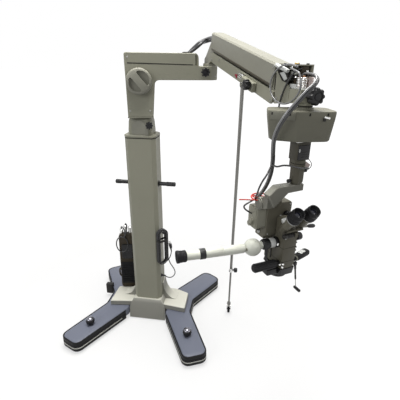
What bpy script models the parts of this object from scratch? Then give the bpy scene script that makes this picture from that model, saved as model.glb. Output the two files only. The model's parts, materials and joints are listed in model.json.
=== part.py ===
"""Surgical microscope on a floor stand, in metres, Z up, origin on the floor under the column axis."""

import math

import bmesh
import bpy
from mathutils import Matrix, Vector

# Frames that place the moving groups
ARM_TURN = math.radians(17.7)
YOKE_REACH = 0.375
FOREARM_TURN = math.radians(-63.96)
LINK_SLOPE = math.radians(12.1)
LINK_LENGTH = 0.636
PIVOT_ALONG = 0.100
UPPER_PIVOT_Z = 1.647
LOWER_PIVOT_Z = 1.567
SUSPENSION_TOP = 1.4330
HEAD_TURN = math.radians(32.0)
BOX_TURN = math.radians(8.2)

# Clearances
GAP = 0.0005
RUNNING_GAP = 0.001

# Base
LEG_BOTTOM = 0.030
LEG_TOP = 0.080
BUMPER_LOW = 0.013
BUMPER_HIGH = 0.062
BUMPER_THICK = 0.006
LEG_CORNERS = (
    (0.122, -0.100, 0.010),
    (0.308, -0.444, 0.035),
    (0.427, -0.390, 0.035),
    (0.274, -0.072, 0.030),
    (0.274, 0.050, 0.030),
    (0.427, 0.310, 0.040),
    (0.317, 0.388, 0.040),
    (0.150, 0.138, 0.020),
    (0.122, 0.110, 0.010),
)
JACK_AT = (0.296, -0.280)
JACK_STEM = 0.0085
GLIDE_AT = (0.300, 0.245)
GLIDE_RADIUS = 0.020
WHEEL_SPOTS = ((0.360, -0.370), (0.352, 0.296))
WHEEL_RADIUS = 0.019
WHEEL_WIDTH = 0.014
WHEEL_Z = 0.0200
AXLE_RADIUS = 0.004

# Column
COLUMN_HALF_WIDTH = 0.0858
COLUMN_HALF_DEPTH = 0.065
COLUMN_CHAMFER = 0.020
COLUMN_WALL = 0.006
HUB_TOP = 0.145
COLUMN_TOP = 1.176
CAP_TOP = COLUMN_TOP + 0.016
SOCKET_TOP = CAP_TOP + 0.0965
ARM_LOCK_AT = (0.0556, -0.0521, CAP_TOP + 0.0535)
PEG_Y = -0.020
PEG_Z = 0.912
PEG_ENDS = (-0.167, 0.185)
PEG_RADIUS = 0.0125

# First arm
ARM_HALF_DEPTH = 0.075
ARM_EDGE = 0.0025
ARM_TOP = 1.597
ARM_UNDER = 1.469
ARM_LOW = SOCKET_TOP + GAP
SHELF_TOP = 1.537
SHELF_END = 0.400

# Cord and plug
CORD_RADIUS = 0.003
CORD_GLAND = (-0.0320, 0.305)
GLAND_REACH = 0.005
CORD_SLACK = (
    (COLUMN_HALF_WIDTH + GLAND_REACH + 0.0003, -0.0320, 0.3050),
    (0.1010, -0.0323, 0.3035),
    (0.1180, -0.0300, 0.2950),
    (0.1370, -0.0200, 0.2860),
    (0.1520, -0.0065, 0.2900),
    (0.1590, 0.0005, 0.3100),
    (0.1530, -0.0050, 0.3380),
    (0.1370, -0.0200, 0.3640),
    (0.1200, -0.0400, 0.3860),
    (0.1138, -0.0608, 0.4120),
)
CORD_END = (
    (0.000, -0.0125, 0.0180),
    (0.020, -0.0150, 0.0210),
    (0.034, -0.0160, 0.0330),
    (0.0455, -0.0160, 0.0520),
    (0.0520, -0.0150, 0.0760),
    (0.0500, -0.0140, 0.1000),
)

# Spring arm
LINK_HALF_WIDTH = 0.032
LINK_WALL = 0.005
TONGUE_HALF_WIDTH = 0.026
PIN_RADIUS = 0.004

# Wrist and coupling box
WRIST_FRONT_RUN = 0.15613
SUSPENSION_RUN = 0.13613
BOX_BOTTOM = 1.328
BOX_TOP = 1.420
SLIDER_TOP = 1.3205

# Head
TILT_AT = (0.045, 1.104)
BODY_HALF_WIDTH = 0.030
BODY_FRONT = -0.010
BODY_BACK = 0.104
BODY_BOTTOM = 0.848
BODY_TOP = 0.985
EYE_SPACING = 0.032
EYE_TILT = math.radians(52.0)
OBSERVER_TURN = math.radians(-156.3)
SWING_ROD_LEAN = math.radians(9.0)

COLOURS = {
    "paint_beige": ((0.23, 0.23, 0.19), 0.45, 0.0),
    "paint_dark": ((0.12, 0.11, 0.085), 0.45, 0.0),
    "paint_cream": ((0.75, 0.74, 0.67), 0.45, 0.0),
    "paint_blue": ((0.21, 0.23, 0.31), 0.40, 0.0),
    "paint_light": ((0.42, 0.43, 0.40), 0.45, 0.0),
    "black": ((0.02, 0.02, 0.022), 0.40, 0.0),
    "rubber": ((0.03, 0.03, 0.035), 0.70, 0.0),
    "white": ((0.76, 0.76, 0.70), 0.40, 0.0),
    "steel": ((0.60, 0.60, 0.60), 0.30, 1.0),
    "cable": ((0.10, 0.10, 0.11), 0.50, 0.0),
}


def clear_scene():
    for obj in list(bpy.data.objects):
        bpy.data.objects.remove(obj, do_unlink=True)


def mesh_object(name, points, faces):
    mesh = bpy.data.meshes.new(name)
    mesh.from_pydata([tuple(p) for p in points], [], faces)
    bm = bmesh.new()
    bm.from_mesh(mesh)
    bmesh.ops.remove_doubles(bm, verts=bm.verts, dist=1e-6)
    bmesh.ops.recalc_face_normals(bm, faces=bm.faces)
    bm.to_mesh(mesh)
    bm.free()
    obj = bpy.data.objects.new(name, mesh)
    bpy.context.scene.collection.objects.link(obj)
    return obj


def loft(name, rings):
    """A closed body through rings of points. A ring of one point is an apex."""
    points = []
    faces = []
    starts = []
    for ring in rings:
        starts.append(len(points))
        points += ring
    for k in range(len(rings) - 1):
        low, high = rings[k], rings[k + 1]
        a, b = starts[k], starts[k + 1]
        count = max(len(low), len(high))
        for i in range(count):
            j = (i + 1) % count
            if len(low) == 1:
                faces.append((a, b + j, b + i))
            elif len(high) == 1:
                faces.append((a + i, a + j, b))
            else:
                faces.append((a + i, a + j, b + j, b + i))
    for start, ring in ((starts[0], rings[0]), (starts[-1], rings[-1])):
        if len(ring) > 2:
            faces.append(tuple(range(start, start + len(ring))))
    return mesh_object(name, points, faces)


def at_plane(plane, p, h):
    return {"xy": (p[0], p[1], h), "xz": (p[0], h, p[1]), "yz": (h, p[0], p[1])}[plane]


def prism(name, outline, low, high, plane="xy"):
    return loft(name, [[at_plane(plane, p, h) for p in outline] for h in (low, high)])


def block(name, low, high):
    outline = ((low[0], low[1]), (high[0], low[1]), (high[0], high[1]), (low[0], high[1]))
    return prism(name, outline, low[2], high[2])


def lathe(name, profile, steps=16, axis="z"):
    """A turned body from (radius, height) pairs. Radius 0 closes an end to a point."""
    rings = []
    for radius, height in profile:
        if radius == 0:
            ring = [(0.0, 0.0, height)]
        else:
            turns = [2 * math.pi * k / steps for k in range(steps)]
            ring = [(radius * math.cos(t), radius * math.sin(t), height) for t in turns]
        rings.append(ring)
    obj = loft(name, rings)
    if axis == "x":
        obj.data.transform(Matrix.Rotation(math.radians(90), 4, "Y"))
    if axis == "y":
        obj.data.transform(Matrix.Rotation(math.radians(-90), 4, "X"))
    return obj


def rounded(corners, steps=4):
    """A counter-clockwise outline from (x, y, radius) corners."""
    outline = []
    count = len(corners)
    for i, (x, y, radius) in enumerate(corners):
        here = Vector((x, y))
        before = Vector(corners[i - 1][:2]) - here
        after = Vector(corners[(i + 1) % count][:2]) - here
        if radius == 0:
            outline.append((x, y))
            continue
        half = before.angle(after) / 2
        reach = radius / math.tan(half)
        first = here + before.normalized() * reach
        last = here + after.normalized() * reach
        middle = (before.normalized() + after.normalized()).normalized()
        centre = here + middle * (radius / math.sin(half))
        start = math.atan2(first.y - centre.y, first.x - centre.x)
        sweep = math.atan2(last.y - centre.y, last.x - centre.x) - start
        sweep = (sweep + math.pi) % (2 * math.pi) - math.pi
        for k in range(steps + 1):
            turn = start + sweep * k / steps
            outline.append((centre.x + radius * math.cos(turn), centre.y + radius * math.sin(turn)))
    return outline


def rounded_box(half_x, half_y, radius, steps=3):
    signs = ((-1, -1), (1, -1), (1, 1), (-1, 1))
    return rounded([(a * half_x, b * half_y, radius) for a, b in signs], steps)


def offset(outline, distance):
    """A counter-clockwise outline moved outwards by the distance."""
    moved = []
    count = len(outline)
    for i in range(count):
        here = Vector(outline[i])
        into = (here - Vector(outline[i - 1])).normalized()
        out = (Vector(outline[(i + 1) % count]) - here).normalized()
        normal = Vector((into.y + out.y, -into.x - out.x)).normalized()
        scale = max(0.3, normal.dot(Vector((into.y, -into.x))))
        moved.append(tuple(here + normal * (distance / scale)))
    return moved


def settled(obj):
    """The object with its modifiers worked into its mesh."""
    bpy.context.view_layer.update()
    graph = bpy.context.evaluated_depsgraph_get()
    mesh = bpy.data.meshes.new_from_object(obj.evaluated_get(graph))
    obj.modifiers.clear()
    obj.data = mesh
    return obj


def combined(obj, others, operation):
    for other in others:
        modifier = obj.modifiers.new("combine", "BOOLEAN")
        modifier.operation = operation
        modifier.solver = "EXACT"
        modifier.object = other
        settled(obj)
        bpy.data.objects.remove(other, do_unlink=True)
    return obj


def union(obj, *others):
    return combined(obj, others, "UNION")


def cut(obj, *others):
    return combined(obj, others, "DIFFERENCE")


def bevelled(obj, width, segments=2, angle=40.0):
    modifier = obj.modifiers.new("edges", "BEVEL")
    modifier.width = width
    modifier.segments = segments
    modifier.limit_method = "ANGLE"
    modifier.angle_limit = math.radians(angle)
    return settled(obj)


def placed(obj, matrix):
    obj.data.transform(matrix)
    return obj


def shifted(obj, x, y, z):
    return placed(obj, Matrix.Translation((x, y, z)))


def on_axis(obj, point):
    """Puts the object's origin on a point of its joint's axis."""
    point = Vector(point)
    obj.data.transform(Matrix.Translation(-point))
    obj.location = point
    return obj


def coat(obj, slot):
    material = bpy.data.materials.get(slot)
    if material is None:
        colour, rough, metal = COLOURS[slot]
        material = bpy.data.materials.new(slot)
        material.use_nodes = True
        shader = material.node_tree.nodes["Principled BSDF"]
        shader.inputs["Base Color"].default_value = (*colour, 1.0)
        shader.inputs["Roughness"].default_value = rough
        shader.inputs["Metallic"].default_value = metal
    obj.data.materials.clear()
    obj.data.materials.append(material)
    return obj


def lobed_knob(name, radius, depth, lobes=8, per_lobe=3):
    """A knob along +X from x = 0, with scalloped grips and a narrower boss behind."""
    rings = []
    boss = 0.55 * radius
    levels = ((boss, 0.0, 0), (boss, 0.2 * depth, 0), (radius, 0.34 * depth, 1), (radius, 0.9 * depth, 1),
              (0.86 * radius, depth, 1))
    count = lobes * per_lobe
    for size, x, wavy in levels:
        ring = []
        for k in range(count):
            turn = 2 * math.pi * k / count
            wave = 1 - wavy * 0.10 * (k % per_lobe != 0)
            ring.append((x, size * wave * math.cos(turn), size * wave * math.sin(turn)))
        rings.append(ring)
    return loft(name, rings)


def tube(name, route, radius, steps=4):
    """A cable or rod along a route of points, as a closed curve tube."""
    curve = bpy.data.curves.new(name, "CURVE")
    curve.dimensions = "3D"
    spline = curve.splines.new("POLY")
    spline.points.add(len(route) - 1)
    for point, place in zip(spline.points, route):
        point.co = (*place, 1.0)
    curve.bevel_depth = radius
    curve.bevel_resolution = steps
    curve.use_fill_caps = True
    obj = bpy.data.objects.new(name, curve)
    bpy.context.scene.collection.objects.link(obj)
    return obj


def solid_tube(name, route, radius, steps):
    """The same tube as a mesh, so that a Boolean can join it."""
    curve = tube(name, route, radius, steps)
    settled_mesh = settled_copy(curve)
    bpy.data.objects.remove(curve, do_unlink=True)
    return settled_mesh


def settled_copy(obj):
    bpy.context.view_layer.update()
    graph = bpy.context.evaluated_depsgraph_get()
    mesh = bpy.data.meshes.new_from_object(obj.evaluated_get(graph))
    points = [tuple(vertex.co) for vertex in mesh.vertices]
    return mesh_object(obj.name + "_mesh", points, [tuple(face.vertices) for face in mesh.polygons])


def smooth_route(points, per_span=6):
    """Points along a smooth curve through the given ones."""
    places = [Vector(p) for p in points]
    places = [2 * places[0] - places[1]] + places + [2 * places[-1] - places[-2]]
    route = []
    for k in range(1, len(places) - 2):
        a, b, c, d = places[k - 1 : k + 3]
        for step in range(per_span):
            t = step / per_span
            route.append(
                0.5 * (2 * b + (c - a) * t + (2 * a - 5 * b + 4 * c - d) * t**2 + (3 * b - a - 3 * c + d) * t**3)
            )
    route.append(places[-2])
    return [tuple(p) for p in route]


ARM = Matrix.Rotation(ARM_TURN, 4, "Z")
YOKE_POINT = ARM @ Vector((YOKE_REACH, 0.0, 0.0))
FORE = Matrix.Translation(YOKE_POINT) @ Matrix.Rotation(FOREARM_TURN, 4, "Z")
WRIST_ALONG = PIVOT_ALONG + LINK_LENGTH * math.cos(LINK_SLOPE)
LINK_DROP = LINK_LENGTH * math.sin(LINK_SLOPE)
WRIST_START = WRIST_ALONG + 0.028
WRIST_FRONT = WRIST_START + WRIST_FRONT_RUN
SUSPENSION_ALONG = WRIST_START + SUSPENSION_RUN
AXIS_POINT = FORE @ Vector((SUSPENSION_ALONG, 0.0, 0.0))
HEAD = Matrix.Translation(AXIS_POINT) @ Matrix.Rotation(HEAD_TURN, 4, "Z")
BOX = Matrix.Translation(AXIS_POINT) @ Matrix.Rotation(BOX_TURN, 4, "Z")


def link_frame(pivot_z):
    return FORE @ Matrix.Translation((PIVOT_ALONG, 0.0, pivot_z)) @ Matrix.Rotation(LINK_SLOPE, 4, "Y")


# Base


def leg_outline(side):
    outline = rounded(LEG_CORNERS, 4)
    if side < 0:
        outline = [(-x, y) for x, y in reversed(outline)]
    return outline


def leg(name, side):
    outline = leg_outline(side)
    rings = []
    edges = ((LEG_BOTTOM, 0.0), (LEG_TOP - 0.010, 0.0), (LEG_TOP - 0.003, 0.003), (LEG_TOP, 0.010))
    for z, inset in edges:
        rings.append([(x, y, z) for x, y in offset(outline, -inset)])
    obj = loft(name, rings)
    glide = lathe("glide", ((GLIDE_RADIUS, 0.0), (GLIDE_RADIUS, LEG_BOTTOM + 0.002)))
    hole = lathe("hole", ((JACK_STEM + GAP, 0.0), (JACK_STEM + GAP, LEG_TOP + 0.020)), 16)
    pads = [shifted(glide, side * GLIDE_AT[0], GLIDE_AT[1], 0)]
    holes = [shifted(hole, side * JACK_AT[0], JACK_AT[1], 0)]
    for x, y in WHEEL_SPOTS:
        x *= side
        holes.append(block("well", (x - 0.0085, y - 0.024, 0.0), (x + 0.0085, y + 0.024, 0.050)))
        for way in (-1, 1):
            low = x + way * 0.0105
            pads.append(block("cheek", (low - 0.002, y - 0.009, 0.010), (low + 0.002, y + 0.009, LEG_BOTTOM + 0.002)))
        hole = lathe("axle", ((AXLE_RADIUS + GAP, -0.02), (AXLE_RADIUS + GAP, 0.02)), 12, "x")
        holes.append(shifted(hole, x, y, WHEEL_Z))
    union(obj, *pads)
    cut(obj, *holes)
    return coat(obj, "paint_blue")


def bumper(name, side):
    outline = leg_outline(side)
    rings = []
    low, high, thick = BUMPER_LOW, BUMPER_HIGH, BUMPER_THICK
    for z, out in ((low, 0.002), (low + 0.006, thick), (high - 0.006, thick), (high, 0.002)):
        rings.append([(x, y, z) for x, y in offset(outline, out)])
    obj = loft(name, rings)
    inner = prism("inner", offset(outline, 0.0004), 0.0, 0.1)
    middle = 0.066 * side
    gate = block("gate", (middle - 0.068, -0.128, 0.0), (middle + 0.068, 0.140, 0.1))
    cut(obj, inner, gate)
    return coat(obj, "rubber")


def jack(name, side):
    ball = 0.026
    centre = 0.106
    profile = [(0.024, 0.0), (0.024, 0.006), (JACK_STEM, 0.012), (JACK_STEM, 0.0815), (0.013, 0.0815), (0.013, 0.085)]
    for turn in (-48, -22, 4, 30, 56):
        angle = math.radians(turn)
        profile.append((ball * math.cos(angle), centre + ball * math.sin(angle)))
    profile.append((0, centre + ball))
    obj = shifted(lathe(name, profile, 12), side * JACK_AT[0], JACK_AT[1], 0)
    return coat(on_axis(obj, (side * JACK_AT[0], JACK_AT[1], 0.05)), "black")


def wheel(name, side, spot):
    half = WHEEL_WIDTH / 2
    axle = 0.013
    tread = WHEEL_RADIUS
    profile = ((AXLE_RADIUS, -axle), (AXLE_RADIUS, -half), (tread - 0.001, -half), (tread, -half + 0.003),
               (tread, half - 0.003), (tread - 0.001, half), (AXLE_RADIUS, half), (AXLE_RADIUS, axle))
    at = (side * spot[0], spot[1], WHEEL_Z)
    obj = shifted(lathe(name, profile, 12, "x"), *at)
    return coat(on_axis(obj, at), "black")


def gusset(side):
    """A flare that runs from the side of the column out onto the wing."""
    inner = COLUMN_HALF_WIDTH + GAP
    outline = [(inner, 0.10), (inner, 0.235)]
    for k in range(7):
        angle = math.radians(90 * k / 6)
        outline.append((inner + 0.004 + 0.083 * (1 - math.cos(angle)), 0.233 - 0.117 * math.sin(angle)))
    outline.append((inner + 0.090, 0.10))
    return prism("gusset", [(side * x, z) for x, z in outline], -0.012, 0.062, "xz")


def hub(name):
    levels = ((0.008, 0.116, 0.099, 0.100), (0.080, 0.116, 0.090, 0.100), (0.116, 0.104, 0.084, 0.096),
              (HUB_TOP - 0.002, 0.0895, 0.0760, 0.0760), (HUB_TOP, 0.0875, 0.074, 0.074))
    rings = []
    for z, x, front, back in levels:
        rings.append([(-x, -front, z), (x, -front, z), (x, back, z), (-x, back, z)])
    obj = loft(name, rings)
    wings = ((-0.244, -0.092), (-0.110, -0.074), (0.110, -0.074), (0.244, -0.092),
             (0.241, 0.065), (0.153, 0.102), (-0.153, 0.102), (-0.241, 0.065))
    plate = bevelled(prism("wings", wings, LEG_TOP + GAP, 0.115), 0.003, 1)
    union(obj, plate, gusset(1), gusset(-1))
    return coat(obj, "paint_cream")


def column(name):
    """The hollow post, with the cord's gland on its right side."""
    c = COLUMN_CHAMFER
    x, y = COLUMN_HALF_WIDTH, COLUMN_HALF_DEPTH
    outline = ((-x + c, -y), (x - c, -y), (x, -y + c), (x, y - c), (x - c, y), (-x + c, y), (-x, y - c), (-x, -y + c))
    obj = prism(name, outline, HUB_TOP + GAP, COLUMN_TOP)
    bore = prism("bore", offset(outline, -COLUMN_WALL), 0.0, COLUMN_TOP + 0.1)
    hole = lathe("hole", ((PEG_RADIUS + 0.0003, -0.3), (PEG_RADIUS + 0.0003, 0.3)), 20, "x")
    cut(obj, bore, shifted(hole, 0, PEG_Y, PEG_Z))
    gland = lathe("gland", ((0.0095, x - 0.002), (0.0095, x + 0.003), (0.0060, x + GLAND_REACH)), 16, "x")
    union(obj, shifted(gland, 0, *CORD_GLAND))
    return coat(obj, "paint_beige")


def column_cap(name):
    c = COLUMN_CHAMFER
    x, y = COLUMN_HALF_WIDTH + 0.002, COLUMN_HALF_DEPTH + 0.002
    outline = ((-x + c, -y), (x - c, -y), (x, -y + c), (x, y - c), (x - c, y), (-x + c, y), (-x, y - c), (-x, -y + c))
    obj = bevelled(prism(name, outline, COLUMN_TOP + GAP, CAP_TOP), 0.003, 1)
    return coat(obj, "paint_beige")


def pegs(name):
    """One rod through the column, whose ends carry the pedal and the cord."""
    low, high = PEG_ENDS
    r = PEG_RADIUS
    profile = ((0, low), (r - 0.002, low), (r, low + 0.002), (r, high - 0.002), (r - 0.002, high), (0, high))
    return coat(shifted(lathe(name, profile, 20, "x"), 0, PEG_Y, PEG_Z), "black")


def socket(name):
    """The bearing post that the first arm turns on, with a flat arched face at the front."""
    outline = rounded(((-0.066, -0.058, 0.028), (0.066, -0.058, 0.028), (0.066, 0.058, 0.028), (-0.066, 0.058, 0.028)))
    rings = []
    levels = ((CAP_TOP + GAP, 0.0), (CAP_TOP + 0.023, 0.0), (SOCKET_TOP - 0.0265, 0.004), (SOCKET_TOP - 0.004, 0.012),
              (SOCKET_TOP, 0.016))
    for z, inset in levels:
        rings.append([(x, y, z) for x, y in offset(outline, -inset)])
    return coat(loft(name, rings), "paint_beige")


def pedal(name):
    """The foot pedal, hung upright beside the column."""
    outline = rounded(((-0.056, 0.0, 0.025), (0.056, 0.0, 0.025), (0.052, 0.405, 0.020), (-0.052, 0.405, 0.020)))
    obj = prism(name, outline, -0.020, 0.020, "xz")
    rib = [block("rib", (-0.046, -0.030, z), (0.046, -0.015, z + 0.012)) for z in (0.05, 0.11, 0.17)]
    union(obj, *rib)
    turn = Matrix.Translation((-0.168, 0.088, 0.1150 + GAP)) @ Matrix.Rotation(math.radians(12), 4, "Z")
    return coat(placed(obj, turn), "black")


HANK = Matrix.Translation((0.105, -0.052, 0.402)) @ Matrix.Rotation(math.radians(45), 4, "Z")


def cord_hank(name):
    """The mains cord: the outer shape of its hank, the loose stretch from the gland, and the plug on its end."""
    outline = rounded(((-0.034, 0.0, 0.020), (0.034, 0.0, 0.020), (0.030, 0.243, 0.022), (-0.030, 0.243, 0.022)))
    obj = placed(bevelled(prism(name, outline, -0.018, 0.018, "xz"), 0.006, 1), HANK)
    loose = solid_tube("loose", smooth_route(CORD_SLACK, 2), CORD_RADIUS, 2)
    lead = placed(solid_tube("lead", smooth_route(CORD_END, 2), CORD_RADIUS, 2), HANK)
    rings = []
    for z, size in ((-0.002, 0.62), (0.012, 0.98), (0.0325, 0.98)):
        rings.append([(x, y, z) for x, y in rounded_box(0.0125 * size, 0.0085 * size, 0.004 * size, 1)])
    plug = loft("plug", rings)
    spots = ((-0.0062, 0.0025), (0.0062, 0.0025), (0.0, -0.0045))
    pins = [shifted(lathe("pin", ((0.0022, 0.030), (0.0022, 0.050)), 6), x, y, 0) for x, y in spots]
    union(plug, *pins)
    forward = (Vector(CORD_END[-1]) - Vector(CORD_END[-2])).to_track_quat("Z", "Y").to_matrix().to_4x4()
    placed(plug, HANK @ Matrix.Translation(CORD_END[-1]) @ forward)
    union(obj, loose, lead, plug)
    return coat(obj, "cable")


# First arm


def first_arm(name):
    corners = (
        (-0.068, ARM_LOW, 0.005),
        (0.062, ARM_LOW, 0.005),
        (0.076, ARM_UNDER, 0.022),
        (SHELF_END, ARM_UNDER, 0.006),
        (SHELF_END, SHELF_TOP, 0.005),
        (0.302, SHELF_TOP, 0.003),
        (0.300, ARM_TOP, 0.024),
        (-0.071, ARM_TOP, 0.010),
    )
    outline = rounded(corners)
    rings = []
    half, edge = ARM_HALF_DEPTH, ARM_EDGE
    for y, inset in ((-half, edge), (-half + edge, 0.0), (half - edge, 0.0), (half, edge)):
        rings.append([(x, y, z) for x, z in offset(outline, -inset)])
    obj = loft(name, rings)
    floor, roof = ARM_UNDER + 0.010, ARM_TOP - 0.010
    inside = ((-0.058, 1.20), (0.052, 1.20), (0.064, floor), (0.280, floor), (0.280, roof), (-0.060, roof))
    hollow = prism("hollow", inside, -ARM_HALF_DEPTH + 0.008, ARM_HALF_DEPTH - 0.008, "xz")
    cut(obj, hollow)
    for way in (-1, 1):
        near, far = SHELF_END - 0.040, SHELF_END + 0.020
        corner = ((near, way * 0.080), (far, way * 0.020), (far, way * 0.100), (near, way * 0.100))
        cut(obj, prism("corner", corner, ARM_UNDER - 0.050, ARM_TOP + 0.010))
        near, far = 0.280, 0.312
        corner = ((near, way * ARM_HALF_DEPTH), (far, way * 0.035), (far, way * 0.100), (near, way * 0.100))
        cut(obj, prism("corner", corner, SHELF_TOP, ARM_TOP + 0.010))
    return coat(on_axis(placed(obj, ARM), (0, 0, ARM_LOW)), "paint_beige")


def tension_knob(name):
    """The large round knob, with a grip bar between two finger recesses."""
    radius = 0.064
    profile = ((0.050, 0.0), (0.050, 0.006), (radius, 0.010), (radius, 0.026), (0.058, 0.033), (0.040, 0.0365), (0, 0.038))
    obj = lathe(name, profile, 24)
    cutters = []
    for way in (-1, 1):
        outline = []
        for k in range(7):
            angle = math.radians(-62 + 124 * k / 6)
            outline.append((0.047 * math.cos(angle), 0.047 * math.sin(angle)))
        outline = [(way * x, way * y) for x, y in outline]
        cutters.append(prism("recess", outline, 0.020, 0.06))
    cut(obj, *cutters)
    obj.data.transform(Matrix.Rotation(math.radians(40), 4, "Z"))
    obj.data.transform(Matrix.Rotation(math.radians(90), 4, "X"))
    at = ARM @ Vector((-0.004, -ARM_HALF_DEPTH - GAP, 1.464))
    obj.data.transform(Matrix.Translation(at) @ ARM)
    return coat(on_axis(obj, at), "paint_beige")


def knob_at(name, frame, place, turn, radius, depth):
    """A lobed knob that points along the frame's X turned about Z."""
    obj = lobed_knob(name, radius, depth)
    matrix = frame @ Matrix.Translation(place) @ Matrix.Rotation(math.radians(turn), 4, "Z")
    obj.data.transform(matrix)
    return coat(on_axis(obj, frame @ Vector(place)), "black")


# Spring arm


def yoke(name):
    disc = lathe(name, ((0.042, SHELF_TOP + GAP), (0.042, SHELF_TOP + 0.011), (0.040, SHELF_TOP + 0.014)), 24)
    outline = ((-0.034, 1.549), (0.036, 1.549), (0.080, 1.562), (0.106, 1.560), (0.112, 1.568), (0.116, 1.655),
               (0.108, 1.668), (0.088, 1.664), (0.046, 1.630), (-0.010, 1.585), (-0.034, 1.572))
    neck = prism("neck", outline, -TONGUE_HALF_WIDTH, TONGUE_HALF_WIDTH, "xz")
    pins = []
    for z in (UPPER_PIVOT_Z, LOWER_PIVOT_Z):
        pin = lathe("pin", ((PIN_RADIUS, -LINK_HALF_WIDTH), (PIN_RADIUS, LINK_HALF_WIDTH)), 12, "y")
        pins.append(shifted(pin, PIVOT_ALONG, 0, z))
    union(disc, neck, *pins)
    return coat(on_axis(placed(disc, FORE), YOKE_POINT + Vector((0, 0, SHELF_TOP))), "paint_beige")


def pin_holes(frame):
    holes = []
    for along in (0.0, LINK_LENGTH):
        hole = lathe("hole", ((PIN_RADIUS + GAP, -0.06), (PIN_RADIUS + GAP, 0.06)), 12, "y")
        holes.append(placed(shifted(hole, along, 0, 0), frame))
    return holes


def upper_link(name):
    """The cover: a channel open below and at both ends."""
    frame = link_frame(UPPER_PIVOT_Z)
    w, t = LINK_HALF_WIDTH, LINK_WALL
    start, end, low, high = -0.012, LINK_LENGTH + 0.008, -0.036, 0.041
    outline = ((-w, low), (w, low), (w, high - 0.006), (w - 0.006, high), (-w + 0.006, high), (-w, high - 0.006))
    obj = prism(name, outline, start, end, "yz")
    inside = block("inside", (start - 0.01, -w + t, low - 0.01), (end + 0.01, w - t, high - 0.003))
    cut(obj, inside)
    placed(obj, frame)
    cut(obj, *pin_holes(frame))
    return coat(on_axis(obj, FORE @ Vector((PIVOT_ALONG, 0, UPPER_PIVOT_Z))), "paint_beige")


def lower_link(name):
    """The lower channel, open above, with its floor kept clear of both pivots."""
    frame = link_frame(LOWER_PIVOT_Z)
    w, t = LINK_HALF_WIDTH, LINK_WALL
    start, end, low, high = -0.012, LINK_LENGTH + 0.012, -0.012, 0.033
    outline = rounded(((start, low, 0.011), (end, low, 0.010), (end, high, 0.004), (start, high, 0.010)))
    obj = prism(name, outline, -w, w, "xz")
    inside = block("inside", (-0.05, -w + t, low + 0.003), (end + 0.05, w - t, high + 0.05))
    ends = [
        block("near", (-0.05, -w + t, -0.05), (0.055, w - t, 0.05)),
        block("far", (LINK_LENGTH - 0.040, -w + t, -0.05), (LINK_LENGTH + 0.05, w - t, 0.05)),
    ]
    cut(obj, inside, *ends)
    placed(obj, frame)
    cut(obj, *pin_holes(frame))
    return coat(on_axis(obj, FORE @ Vector((PIVOT_ALONG, 0, LOWER_PIVOT_Z))), "paint_beige")


CLAMP_PIN = (0.458, 0.004)
CLAMP_KNOB = (0.502, 0.016)
CLAMP_FACE = LINK_HALF_WIDTH + 0.019
POLE_PIN_SIDE = -CLAMP_FACE - 0.0110
POLE_PIN = link_frame(LOWER_PIVOT_Z) @ Vector((CLAMP_PIN[0], POLE_PIN_SIDE, CLAMP_PIN[1]))
POLE_FOOT = Vector((0.515, 0.0594, 0.0268))
POLE_UP = (POLE_PIN - POLE_FOOT).normalized()
POLE_SIDEWAYS = Vector((0, 0, 1)).cross(POLE_UP).normalized()
POLE_REACH = (POLE_PIN - POLE_FOOT).length
POLE_RADIUS = 0.0075
ROD_RADIUS = 0.0055
POLE_SPLIT = 1.130


def pole_frame():
    """Frame at the pole's pin, with Z up along the pole and X across it, level."""
    across = POLE_SIDEWAYS
    third = POLE_UP.cross(across)
    columns = (across, third, POLE_UP)
    turn = Matrix([[columns[c][r] for c in range(3)] for r in range(3)]).to_4x4()
    return Matrix.Translation(POLE_PIN) @ turn


def clamp(name):
    """The clamp block on the near side of the lower link, with the pin that the pole hangs from."""
    frame = link_frame(LOWER_PIVOT_Z)
    low, high = (CLAMP_PIN[0] - 0.045, -CLAMP_FACE, -0.010), (CLAMP_KNOB[0] + 0.016, -LINK_HALF_WIDTH - GAP, 0.026)
    obj = bevelled(block(name, low, high), 0.003, 1)
    pin = lathe("pin", ((0.004, POLE_PIN_SIDE - 0.0085), (0.004, -CLAMP_FACE + 0.004)), 12, "y")
    union(obj, shifted(pin, CLAMP_PIN[0], 0, CLAMP_PIN[1]))
    return coat(placed(obj, frame), "steel")


def pole_upper(name):
    """The upper pole with its eye, and the collar and lock knob at its lower end."""
    bore = ROD_RADIUS + GAP
    low = -POLE_SPLIT
    obj = lathe(name, ((POLE_RADIUS, low), (POLE_RADIUS, -0.006)), 16)
    collar = lathe("collar", ((0.012, low - 0.002), (0.012, low + 0.026)), 16)
    grip = lathe("grip", ((0.004, 0.006), (0.004, 0.016), (0.013, 0.018), (0.014, 0.034), (0.010, 0.038)), 12, "x")
    union(obj, collar, shifted(grip, 0, 0, -POLE_SPLIT + 0.012))
    hole = lathe("hole", ((bore, low - 0.270), (bore, low + 0.270)), 16)
    cut(obj, hole)
    placed(obj, pole_frame())
    eye = lathe("eye", ((0.0115, -0.008), (0.0115, 0.008)), 20, "y")
    union(obj, placed(eye, Matrix.Translation(POLE_PIN) @ Matrix.Rotation(FOREARM_TURN, 4, "Z")))
    pin_hole = lathe("pin_hole", ((0.0045, -0.03), (0.0045, 0.03)), 16, "y")
    cut(obj, placed(pin_hole, Matrix.Translation(POLE_PIN) @ Matrix.Rotation(FOREARM_TURN, 4, "Z")))
    return coat(on_axis(obj, POLE_PIN), "steel")


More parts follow.
